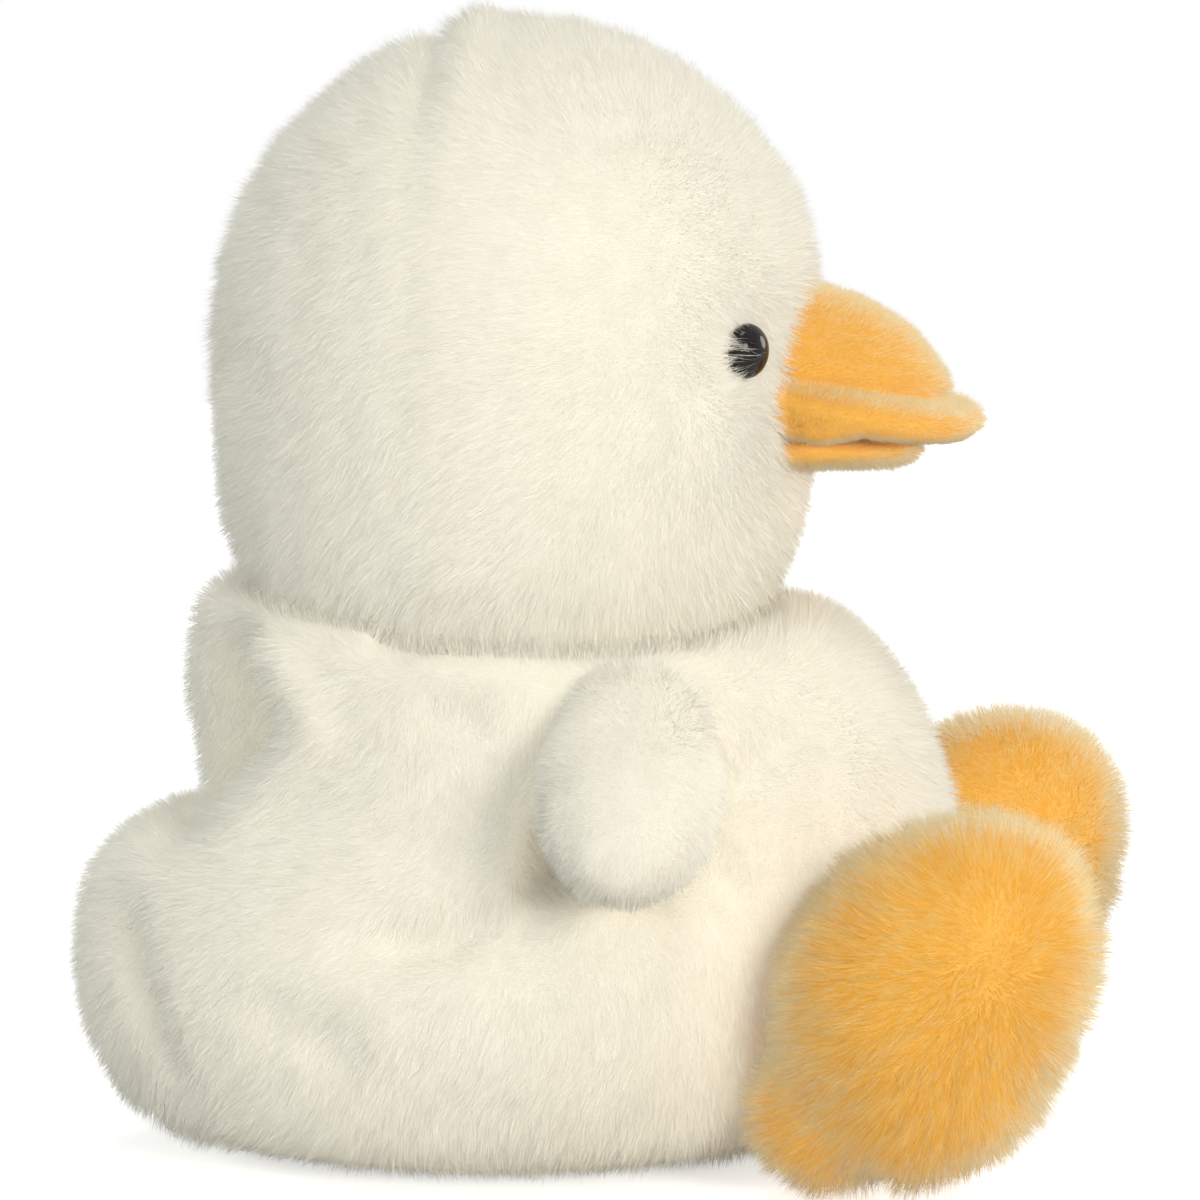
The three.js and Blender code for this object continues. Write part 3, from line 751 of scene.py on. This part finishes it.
def drift(points, wave, seed):
    """A smooth random vector over space, about as long as one, that changes over a wave's length."""
    rng = np.random.default_rng(seed)
    total = np.zeros_like(points)
    for _ in range(6):
        way = unit(rng.normal(size=3)) * 2 * np.pi / wave * rng.uniform(0.6, 1.5)
        total += np.sin(points @ way + rng.uniform(0, 6.3))[:, None] * unit(rng.normal(size=3))
    return total / 1.7


def hollows(mesh, points, normals):
    """How hollow a skin is at each vertex, in parts of a millimetre over a millimetre."""
    edges = np.empty(len(mesh.edges) * 2, np.int32)
    mesh.edges.foreach_get("vertices", edges)
    a, b = edges.reshape(-1, 2).T
    count = np.bincount(edges, minlength=len(points))
    way = points[b] - points[a]
    bend = np.zeros(len(points))
    for here, there, step in ((a, b, way), (b, a, -way)):
        rise = np.sum(step * normals[here], axis=1) / np.sum(step * step, axis=1)
        bend += np.bincount(here, rise, len(points))
    bend /= count
    for _ in range(3):
        near = np.bincount(a, bend[b], len(points)) + np.bincount(b, bend[a], len(points))
        bend = 0.5 * bend + 0.5 * near / count
    return np.clip(bend, 0, None)


def strand_roots(mesh, wanted, thick, rng):
    """Evenly scattered places on the wanted part of a skin, with the skin's normals and hollows there."""
    mesh.calc_loop_triangles()
    tris = np.empty(len(mesh.loop_triangles) * 3, np.int32)
    mesh.loop_triangles.foreach_get("vertices", tris)
    tris = tris.reshape(-1, 3)
    points, normals = places_of(mesh), normals_of(mesh)
    tris = tris[wanted(points[tris].mean(1), normals[tris].mean(1))]
    a, b, c = (points[tris[:, k]] for k in range(3))
    area = np.linalg.norm(np.cross(b - a, c - a), axis=1) / 2
    run = np.cumsum(area)
    count = int(run[-1] * thick)
    order = np.searchsorted(run, (np.arange(count) + rng.random(count)) * run[-1] / count)
    order = np.minimum(order, len(tris) - 1)
    u, v = rng.random(count), rng.random(count)
    u, v = np.where(u + v > 1, 1 - u, u), np.where(u + v > 1, 1 - v, v)
    share = np.stack([1 - u - v, u, v], -1)[:, :, None]
    hollow = hollows(mesh, points, normals)[tris[order]]
    return (
        (points[tris[order]] * share).sum(1),
        unit((normals[tris[order]] * share).sum(1)),
        (hollow * share[:, :, 0]).sum(1),
    )


def skin_tree(piece):
    return BVHTree.FromPolygons(
        [v.co / MM for v in piece.data.vertices], [p.vertices[:] for p in piece.data.polygons]
    )


def inside(points, tree, box, depth=0):
    """Which points lie in a skin, deeper than a depth."""
    near = np.flatnonzero(np.all((points > box[0]) & (points < box[1]), axis=1))
    found = np.zeros(len(points), bool)
    for k in near:
        place, normal, _, _ = tree.find_nearest(Vector(points[k]))
        found[k] = (Vector(points[k]) - place).dot(normal) < -depth
    return found


def grow_pile(name, skin, body, finish_used, slot, wanted, comb, pile, seed, clear=(), wave=5.0, tuft=0.16,
              width=0.1, trim=None, open_way=(0, 0, 0)):
    """Strands on a part of a skin, combed along a field of directions, and pressed flat where other skins lie.

    The strands are shaded a little as if they faced an open way, since light reaches round a small pad from there.
    """
    rng = np.random.default_rng(seed)
    roots, facing, hollow = strand_roots(skin.data, wanted, pile["thick"], rng)
    way = comb(roots)
    way -= facing * dot(way, facing)
    way /= np.maximum(1, np.linalg.norm(way, axis=1, keepdims=True))
    stands = rng.random(len(roots)) < 0.2
    lean = np.where(stands, 0.5 * pile["lean"], pile["lean"]) + rng.normal(0, 8, len(roots))
    lean = np.radians(lean)[:, None]
    ways = facing * np.cos(lean) + way * np.sin(lean)
    ways += tuft * drift(roots, wave, seed + 1) + 0.5 * tuft * drift(roots, wave * 0.35, seed + 2)
    ways += rng.normal(0, 0.1, roots.shape)
    ways += facing * np.clip(0.25 - dot(ways, facing), 0, None)
    ways = unit(ways)
    length = pile["length"] * rng.uniform(0.72, 1.12, len(roots))
    length *= 1 + 0.1 * drift(roots, 6, seed + 3)[:, 0]
    length *= 1 - np.clip(3 * hollow, 0, 0.2)
    if trim is not None:
        length *= trim(roots, facing)
    keep = length > 0.35
    for tree, box in clear:
        for shorter in (0.4, 0.5):
            length *= np.where(inside(roots + ways * length[:, None], tree, box), shorter, 1)
        keep &= ~inside(roots, tree, box, PRESSED)
    tips = roots + ways * length[:, None]
    roots, facing, ways, tips = roots[keep], facing[keep], ways[keep], tips[keep]
    count = len(roots)
    across = unit(np.cross(ways, rng.normal(size=ways.shape)))
    beside = np.cross(ways, across)
    half = width / 2 * rng.uniform(0.8, 1.25, (count, 1))
    points, normals = np.empty((count, 4, 3)), np.empty((count, 3, 3, 3))
    for k in range(3):
        corners = [2 * np.pi * (k + step) / 3 for step in (0, 1, 0.5)]
        outs = [across * np.cos(angle) + beside * np.sin(angle) for angle in corners]
        points[:, k] = roots - facing * 0.15 + outs[0] * half
        for corner, out in enumerate(outs):
            normals[:, k, corner] = unit(facing + ROUNDNESS * out + np.array(open_way))
    points[:, 3] = tips
    tone = np.clip(0.5 + 0.22 * drift(roots, 9, seed + 4)[:, 0] + rng.normal(0, 0.2, count), 0.02, 0.92)
    mesh = strand_mesh(name, points, normals, tone)
    piece = put(mesh, name)
    piece.visible_shadow = piece.visible_diffuse = False  # light passes between the fine fibres
    return dress(piece, body, finish_used, slot)


def strand_mesh(name, points, normals, tone):
    """A mesh of spikes with four points and nine corners each. Their map holds tone across and the way up."""
    count = len(points)
    mesh = bpy.data.meshes.new(name)
    mesh.vertices.add(count * 4)
    mesh.vertices.foreach_set("co", (points * MM).astype(np.float32).ravel())
    corners = np.array([0, 1, 3, 1, 2, 3, 2, 0, 3])
    mesh.loops.add(count * 9)
    mesh.loops.foreach_set("vertex_index", (np.arange(count)[:, None] * 4 + corners).astype(np.int32).ravel())
    mesh.polygons.add(count * 3)
    mesh.polygons.foreach_set("loop_start", np.arange(0, count * 9, 3, dtype=np.int32))
    mesh.update(calc_edges=True)
    across = np.array([0, 0.025, 0.05, 0.025])
    up = np.array([0.02, 0.02, 0.02, 0.98])
    places = np.stack([tone[:, None] + across, np.broadcast_to(up, (count, 4))], -1)[:, corners]
    for layer in ("strand", "OFBake"):
        mesh.uv_layers.new(name=layer).uv.foreach_set("vector", places.astype(np.float32).ravel())
    soft = mesh.attributes.new("custom_normal", "FLOAT_VECTOR", "CORNER")
    soft.data.foreach_set("vector", normals.astype(np.float32).ravel())
    return mesh


def box_of(piece, margin=0.5):
    points = places_of(piece.data)
    return points.min(0) - margin, points.max(0) + margin


# Inner pieces


def tuck(points, tree, depth):
    """Moves points towards their middle, until they lie at least a depth inside a skin."""
    middle = points.mean(0)
    for point in points:
        for _ in range(20):
            place, normal, _, _ = tree.find_nearest(Vector(point))
            short = (Vector(point) - place).dot(normal) + depth
            if short <= 0:
                break
            point += unit(middle - point) * (short + 0.1)
    return points


def fibre_wad(node, body, name, skin, voxel=1.8):
    """Loose fibre in the room of a filling: a soft lumpy copy of it, a little smaller."""
    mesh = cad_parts[node].data.copy()
    bm = bmesh.new()
    bm.from_mesh(mesh)
    bmesh.ops.remove_doubles(bm, verts=bm.verts[:], dist=1e-6)
    piece = make(bm, name)
    bpy.data.meshes.remove(mesh)
    remesh = piece.modifiers.new("even", "REMESH")
    remesh.mode = "VOXEL"
    remesh.voxel_size = voxel * MM
    settle(piece)
    points, normals = places_of(piece.data), normals_of(piece.data)
    lumps = 0.35 * drift(points, 7, 21)[:, :1] + 0.2 * drift(points, 3, 22)[:, :1]
    points += normals * (np.clip(lumps, -1, 0.3) - 0.9)
    move(piece.data, tuck(points, rooms[skin][0], 1.5) if skin else points)
    dress(piece, body, FIBRE, "fibre_fill", node)
    return piece


def pellet_sack():
    bm, up, around = ball(40, 24)
    flat = np.clip(up / 0.25, 0, 1)
    lid = np.clip((1 - up) / 0.3, 0, 1)
    z = 4.6 + 24.6 * np.clip((up - 0.25) / 0.45, 0, 1)
    points = body_wall(z, around, 9.4)
    middle = np.array([0, NECK[1], 0]) + np.array([0, 0, 1]) * z[:, None]
    points = middle + (points - middle) * (flat * lid**0.7)[:, None]
    shape(bm, points)
    piece = make(bm, "pellet_sack")
    smooth = piece.modifiers.new("smooth", "SUBSURF")
    smooth.levels = smooth.render_levels = 1
    settle(piece)
    points, normals = places_of(piece.data), normals_of(piece.data)
    move(piece.data, points + normals * (0.25 * drift(points, 8, 31)[:, :1] - 0.3))
    dress(piece, "body", SACK_CLOTH, "pouch_cloth", "pellet_pouch")


def pellet_heap(count=420, radius=1.3):
    rng = np.random.default_rng(41)
    bm = bmesh.new()
    placed = []
    while len(placed) < count:
        z = rng.uniform(7.5, 26)
        around = rng.uniform(0, 2 * np.pi, 1)
        rim = body_wall(np.array([z]), around, 12.8)[0]
        middle = np.array([0, NECK[1], z])
        spot = middle + (rim - middle) * math.sqrt(rng.random())
        if all(np.sum((spot - other) ** 2) > (2.05 * radius) ** 2 for other in placed):
            placed.append(spot)
    for spot in placed:
        turn = Matrix.Translation(spot * MM) @ Matrix.Rotation(rng.uniform(0, 6), 4, "Z")
        bmesh.ops.create_icosphere(bm, subdivisions=1, radius=radius * MM, matrix=turn)
    dress(make(bm, "pellet_heap"), "body", PELLET_PLASTIC, "pellet_plastic", "pellets")


def eye_frame(side, out):
    """A frame whose Z looks out of the face through an eye."""
    way = Vector(eye_way(side))
    return Matrix.Translation(Vector(eye_middle(side, out)) * MM) @ way.to_track_quat("Z", "Y").to_matrix().to_4x4()


def spun(outline, steps):
    """A turned piece: an outline of (radius, height) in millimetres spun about Z."""
    bm = bmesh.new()
    verts = [bm.verts.new((r * MM, 0, z * MM)) for r, z in outline]
    edges = [bm.edges.new(pair) for pair in zip(verts, verts[1:])]
    bmesh.ops.spin(
        bm, geom=verts + edges, cent=(0, 0, 0), axis=(0, 0, 1), angle=2 * math.pi, steps=steps, use_merge=True
    )
    bmesh.ops.remove_doubles(bm, verts=bm.verts[:], dist=1e-6)
    return bm


def eye_and_washer(name, side):
    dome = [tuple(p) for p in arc(0.35, EYE_RADIUS, EYE_DOME - 0.35, 0, 90, 16)]
    outline = [(0, -10), (0.8, -10), (1, -9.7), (1, -0.2), (1.5, 0), (2.8, 0), (EYE_RADIUS, 0.15)] + dome
    bm = spun(outline, 48)
    bmesh.ops.transform(bm, matrix=eye_frame(side, EYE_BACK), verts=bm.verts[:])
    dress(make(bm, f"{name}_eye_button"), "head", EYE_PLASTIC, "eye_plastic", f"{name}_eye")
    low = np.array(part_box(f"{name}_eye_washer")[0]) / MM
    high = np.array(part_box(f"{name}_eye_washer")[1]) / MM
    out = float(dot((low + high) / 2 - [0, NECK[1], EYE_Z], eye_way(side))[0])
    ring = [(1.35, -0.5), (2.2, -0.6), (4.7, -0.6), (5, -0.3), (5, 0.3), (4.7, 0.6), (2.6, 0.6), (1.35, 0.1), (1.35, -0.5)]
    bm = spun(ring, 40)
    bmesh.ops.transform(bm, matrix=eye_frame(side, out), verts=bm.verts[:])
    dress(make(bm, f"{name}_lock_washer"), "head", WASHER_PLASTIC, "washer_plastic", f"{name}_eye_washer")


# The goose

body = body_skin()
head = head_skin()
upper_bill = upper_bill_skin()
lower_bill = lower_bill_skin()
wings = {name: wing_skin(name, side) for name, side in SIDES.items()}
feet = {name: foot_skin(name, side) for name, side in SIDES.items()}
rooms = {p.name: (skin_tree(p), box_of(p)) for p in (body, head, upper_bill, lower_bill, *wings.values(), *feet.values())}
limb_rooms = [rooms[p.name] for p in (*wings.values(), *feet.values())]


def ahead(points):
    """The angle of body points from straight ahead."""
    return np.abs(np.arctan2(points[:, 0], NECK[1] - points[:, 1]))


def above_bowl(points, normals):
    out = np.linalg.norm(points - NECK, axis=1)
    rim = body_rim(np.arctan2(points[:, 0], NECK[1] - points[:, 1]), 2.2)
    return (out > BOWL_RADIUS + 0.25) | (points[:, 2] > rim - 3.5)


BODY_PANELS = {
    "belly_pile": lambda p, n: above_bowl(p, n) & (p[:, 2] > BASE_SEAM_Z) & (ahead(p) < BELLY_ANGLE),
    "back_pile": lambda p, n: above_bowl(p, n) & (p[:, 2] > BASE_SEAM_Z) & (ahead(p) > np.pi - BACK_ANGLE),
}
for name, side in SIDES.items():
    BODY_PANELS[f"{name}_side_pile"] = lambda p, n, side=side: (
        above_bowl(p, n) & (p[:, 2] > BASE_SEAM_Z) & (p[:, 0] * side > 0)
        & (ahead(p) >= BELLY_ANGLE) & (ahead(p) <= np.pi - BACK_ANGLE)
    )


def comb_body(points):
    """Down and back, but standing up against the head at the rim."""
    out = np.linalg.norm(points - NECK, axis=1, keepdims=True) - BOWL_RADIUS
    near = np.clip((6 - out) / 5, 0, 1)
    return (np.array([0, 0.35, -1.0]) + 0.4 * drift(points, 30, 3)) * (1 - near) + np.array([0, 0, 0.6]) * near


def trim_body(points, normals):
    """Shorter pile next to the head."""
    out = np.linalg.norm(points - NECK, axis=1) - BOWL_RADIUS
    return 0.85 + 0.15 * np.clip(out / 5, 0, 1)


def comb_head(points):
    back = np.clip((points[:, 1:2] - 8) / 14, 0, 1)
    ways = np.array([0, 1.0, -0.35]) * (1 - back) + np.array([0, 0.4, -1.0]) * back + 0.3 * drift(points, 26, 5)
    low = np.clip((70 - points[:, 2:]) / 10, 0, 1)
    ways = ways * (1 - low) + np.array([0, 0, -1.0]) * low
    for side in (1, -1):
        away = eye_middle(side, 31) - points
        off = np.linalg.norm(away, axis=1, keepdims=True)
        behind = np.clip(0.5 - away[:, 1:2] / 3, 0, 1) * np.clip((7 - off) / 3, 0, 1)
        ways = ways * (1 - behind) + unit(away) * behind
    return ways


def trim_head(points, normals):
    """Shorter pile round the eyes, and less and less under the head."""
    left = np.ones(len(points))
    for side in (1, -1):
        away = points - eye_middle(side, 31)
        off = np.linalg.norm(away, axis=1)
        ahead_of = np.clip(0.5 - away[:, 1] / 4, 0, 1)
        left *= 1 - 0.5 * ahead_of * np.clip(1 - (off - 2.6) / 4, 0, 1)
        left *= 1 + 0.7 * np.clip(0.3 + away[:, 1] / 2, 0, 1) * np.clip(1 - (off - 3) / 3, 0, 1)
        left *= off > 2.7
    low = np.clip((points[:, 2] - 50) / 10, 0, 1)
    drape = 1 + 0.5 * np.exp(-(((points[:, 2] - 62) / 4) ** 2))
    return left * low * drape


def on_head(points, normals):
    return points[:, 2] > 50


def trim_foot(points, normals):
    return np.clip(0.35 + points[:, 2] / 6, 0.35, 1)


def trim_bill(points, normals, shut):
    """Shorter pile on the faces of the bill that shut on each other."""
    return 1 - 0.6 * np.clip(shut * normals[:, 2] * 2, 0, 1)


for index, (name, wanted) in enumerate(BODY_PANELS.items()):
    grow_pile(name, body, "body", WHITE_PILE, "white_plush", wanted, comb_body, BODY_PILE, 100 + 10 * index,
              clear=[*limb_rooms, rooms["head_skin"]], trim=trim_body)
grow_pile("base_pile", body, "body", WHITE_PILE, "white_plush", lambda p, n: p[:, 2] <= BASE_SEAM_Z,
          comb_body, dict(length=3.2, lean=60, thick=5), 150, clear=limb_rooms,
          trim=lambda p, n: np.clip((p[:, 2] - 0.6) / 4, 0.2, 1))
head_clear = [rooms["upper_bill_skin"], rooms["lower_bill_skin"]]
for index, (name, side) in enumerate(SIDES.items()):
    grow_pile(f"{name}_face_pile", head, "head", WHITE_PILE, "white_plush",
              lambda p, n, side=side: on_head(p, n) & (p[:, 0] * side > 0) & (p[:, 1] < HEAD_SEAM_Y),
              comb_head, FACE_PILE, 200 + 10 * index, clear=head_clear, tuft=0.1, trim=trim_head)
    grow_pile(f"{name}_head_back_pile", head, "head", WHITE_PILE, "white_plush",
              lambda p, n, side=side: on_head(p, n) & (p[:, 0] * side > 0) & (p[:, 1] >= HEAD_SEAM_Y),
              comb_head, NAPE_PILE, 230 + 10 * index, tuft=0.24, trim=trim_head)
for index, (name, side) in enumerate(SIDES.items()):
    turn, place = limb_frame(WING_PLACE, WING_ALONG, WING_TURNING, side)
    grow_pile(f"{name}_wing_pile", wings[name], f"{name}_wing", WHITE_PILE, "white_plush",
              lambda p, n, t=turn, o=place: (p - o) @ t[:, 0] > -7, lambda p, t=turn: t[:, 0] + 0.3 * drift(p, 20, 7),
              WING_PILE, 300 + 10 * index, clear=[rooms["body_skin"]], tuft=0.08, open_way=(0.8 * side, 0, 0))
    turn, place = limb_frame(FOOT_PLACE, FOOT_ALONG, FOOT_TURNING, side)
    middle = np.array([side * 46, -48.8, 28.9])  # where the strands stand straight up
    grow_pile(f"{name}_foot_pile", feet[name], f"{name}_foot", ORANGE_PILE, "orange_plush",
              lambda p, n: p[:, 2] > -9, lambda p, m=middle: (p - m) / 9 + 0.3 * drift(p, 14, 9), FOOT_PILE,
              340 + 10 * index, clear=[rooms["body_skin"]], wave=4.0, tuft=0.2, trim=trim_foot, width=0.11)
grow_pile("upper_bill_pile", upper_bill, "head", BILL_PILE_FINISH, "orange_plush", lambda p, n: p[:, 1] < FACE_Y + 3,
          lambda p: np.array([0, -1.0, -0.3]) + 0.3 * drift(p, 10, 11), BILL_PILE, 400,
          clear=[rooms["head_skin"], rooms["lower_bill_skin"]], wave=2.5, tuft=0.22,
          trim=lambda p, n: trim_bill(p, n, -1))
grow_pile("lower_bill_pile", lower_bill, "lower_bill", FLAP_PILE_FINISH, "orange_plush",
          lambda p, n: p[:, 1] < FACE_Y + 6, lambda p: np.array([0, -1.0, -0.1]) + 0.3 * drift(p, 10, 12), BILL_PILE,
          410, clear=[rooms["head_skin"], rooms["upper_bill_skin"]], wave=2.5, tuft=0.22,
          trim=lambda p, n: trim_bill(p, n, 1))

fibre_wad("body_filling", "body", "body_fibre", "body_skin")
fibre_wad("neck_wadding", "neck", "neck_fibre", None, 1.0)
fibre_wad("head_filling", "head", "head_fibre", "head_skin")
fibre_wad("upper_bill_filling", "head", "bill_fibre", "upper_bill_skin", 0.9)
for name, side in SIDES.items():
    fibre_wad(f"{name}_wing_filling", f"{name}_wing", f"{name}_wing_fibre", f"{name}_wing_skin", 1.0)
    fibre_wad(f"{name}_foot_filling", f"{name}_foot", f"{name}_foot_fibre", f"{name}_foot_skin", 1.4)
    eye_and_washer(name, side)
pellet_sack()
pellet_heap()


# Floor, light and camera


def floor():
    bm = bmesh.new()
    bmesh.ops.create_grid(bm, x_segments=8, y_segments=8, size=0.7)
    piece = make(bm, "floor")
    material = bpy.data.materials.new("white_floor")
    material.use_nodes = True
    tree = material.node_tree
    tree.nodes.clear()
    paper = tree.nodes.new("ShaderNodeBsdfDiffuse")
    paper.inputs["Color"].default_value = (0.85, 0.85, 0.85, 1)
    glow = tree.nodes.new("ShaderNodeEmission")
    path = tree.nodes.new("ShaderNodeLightPath")
    seen = path.outputs["Is Camera Ray"]
    for label in ("Is Glossy Ray", "Is Transmission Ray"):
        most = tree.nodes.new("ShaderNodeMath")
        most.operation = "MAXIMUM"
        tree.links.new(seen, most.inputs[0])
        tree.links.new(path.outputs[label], most.inputs[1])
        seen = most.outputs[0]
    tree.links.new(spread(tree, seen, 0, 1, 0, 0.5), glow.inputs["Strength"])
    both = tree.nodes.new("ShaderNodeAddShader")
    tree.links.new(paper.outputs[0], both.inputs[0])
    tree.links.new(glow.outputs[0], both.inputs[1])
    end = tree.nodes.new("ShaderNodeOutputMaterial")
    tree.links.new(both.outputs[0], end.inputs["Surface"])
    piece.data.materials.append(material)


def room_light(brightest, low, high):
    """A white room, lighter on one side. What the camera sees of it is white."""
    world = bpy.data.worlds.new("white_room")
    bpy.context.scene.world = world
    world.use_nodes = True
    tree = world.node_tree
    glow = tree.nodes["Background"]
    glow.inputs["Color"].default_value = (1, 1, 1, 1)
    path = tree.nodes.new("ShaderNodeLightPath")
    seen = path.outputs["Is Camera Ray"]
    for label in ("Is Glossy Ray", "Is Transmission Ray"):
        most = tree.nodes.new("ShaderNodeMath")
        most.operation = "MAXIMUM"
        tree.links.new(seen, most.inputs[0])
        tree.links.new(path.outputs[label], most.inputs[1])
        seen = most.outputs[0]
    way = tree.nodes.new("ShaderNodeVectorMath")
    way.operation = "DOT_PRODUCT"
    tree.links.new(tree.nodes.new("ShaderNodeTexCoord").outputs["Generated"], way.inputs[0])
    way.inputs[1].default_value = unit(np.array(brightest))
    light = spread(tree, way.outputs["Value"], -1, 1, low, high)
    warmth = spread(tree, way.outputs["Value"], -1, 1)
    tint = mix_colours(tree, "MIX", warmth, (0.84, 0.93, 1, 1), (1, 0.99, 0.965, 1))
    tree.links.new(mix_colours(tree, "MIX", seen, tint, (1, 1, 1, 1)), glow.inputs["Color"])
    final = tree.nodes.new("ShaderNodeMix")
    tree.links.new(seen, final.inputs[0])
    tree.links.new(light, final.inputs[2])
    final.inputs[3].default_value = 1
    tree.links.new(final.outputs[0], glow.inputs["Strength"])


def soft_box(name, turn, rise, level, colour=(1, 1, 1)):
    """A round lamp at a turn from straight ahead and a rise, in degrees. It lights white that faces it to a level."""
    turn, rise, away = math.radians(turn), math.radians(rise), 1.6
    way = Vector((math.cos(rise) * math.sin(turn), -math.cos(rise) * math.cos(turn), math.sin(rise)))
    data = bpy.data.lights.new(name, "AREA")
    data.shape = "DISK"
    data.size = 0.6
    data.energy = level * (math.pi * away) ** 2
    data.color = colour
    lamp = bpy.data.objects.new(name, data)
    lamp.location = Vector((0, 0, 0.06)) + way * away
    lamp.rotation_mode = "QUATERNION"
    lamp.rotation_quaternion = (-way).to_track_quat("-Z", "Y")
    bpy.context.scene.collection.objects.link(lamp)


def camera():
    data = bpy.data.cameras.new("camera")
    data.sensor_width = 36
    data.lens = 244.6
    data.clip_start, data.clip_end = 0.05, 30
    eye = bpy.data.objects.new("camera", data)
    turn, rise = math.radians(5.5), math.radians(8)
    back = Vector((-math.cos(rise) * math.cos(turn), -math.cos(rise) * math.sin(turn), math.sin(rise)))
    eye.location = Vector((0, -0.7 * MM, 60.6 * MM)) + back * 0.9
    eye.rotation_mode = "QUATERNION"
    eye.rotation_quaternion = (-back).to_track_quat("-Z", "Y")
    bpy.context.scene.collection.objects.link(eye)
    bpy.context.scene.camera = eye


floor()
room_light((-0.5, -0.8, 0.3), 0.18, 0.26)
soft_box("key_light", -48, 16, 0.55, (1, 0.985, 0.96))
soft_box("side_light", -92, 16, 0.13)
soft_box("back_light", -148, 11, 0.2, (0.88, 0.95, 1))
soft_box("far_back_light", 158, 22, 0.22, (0.92, 0.97, 1))
soft_box("far_front_light", 32, 11, 0.2)
soft_box("far_light", 90, 40, 0.3)
soft_box("top_light", -60, 76, 0.22)
camera()
bpy.context.scene.view_settings.view_transform = "Standard"
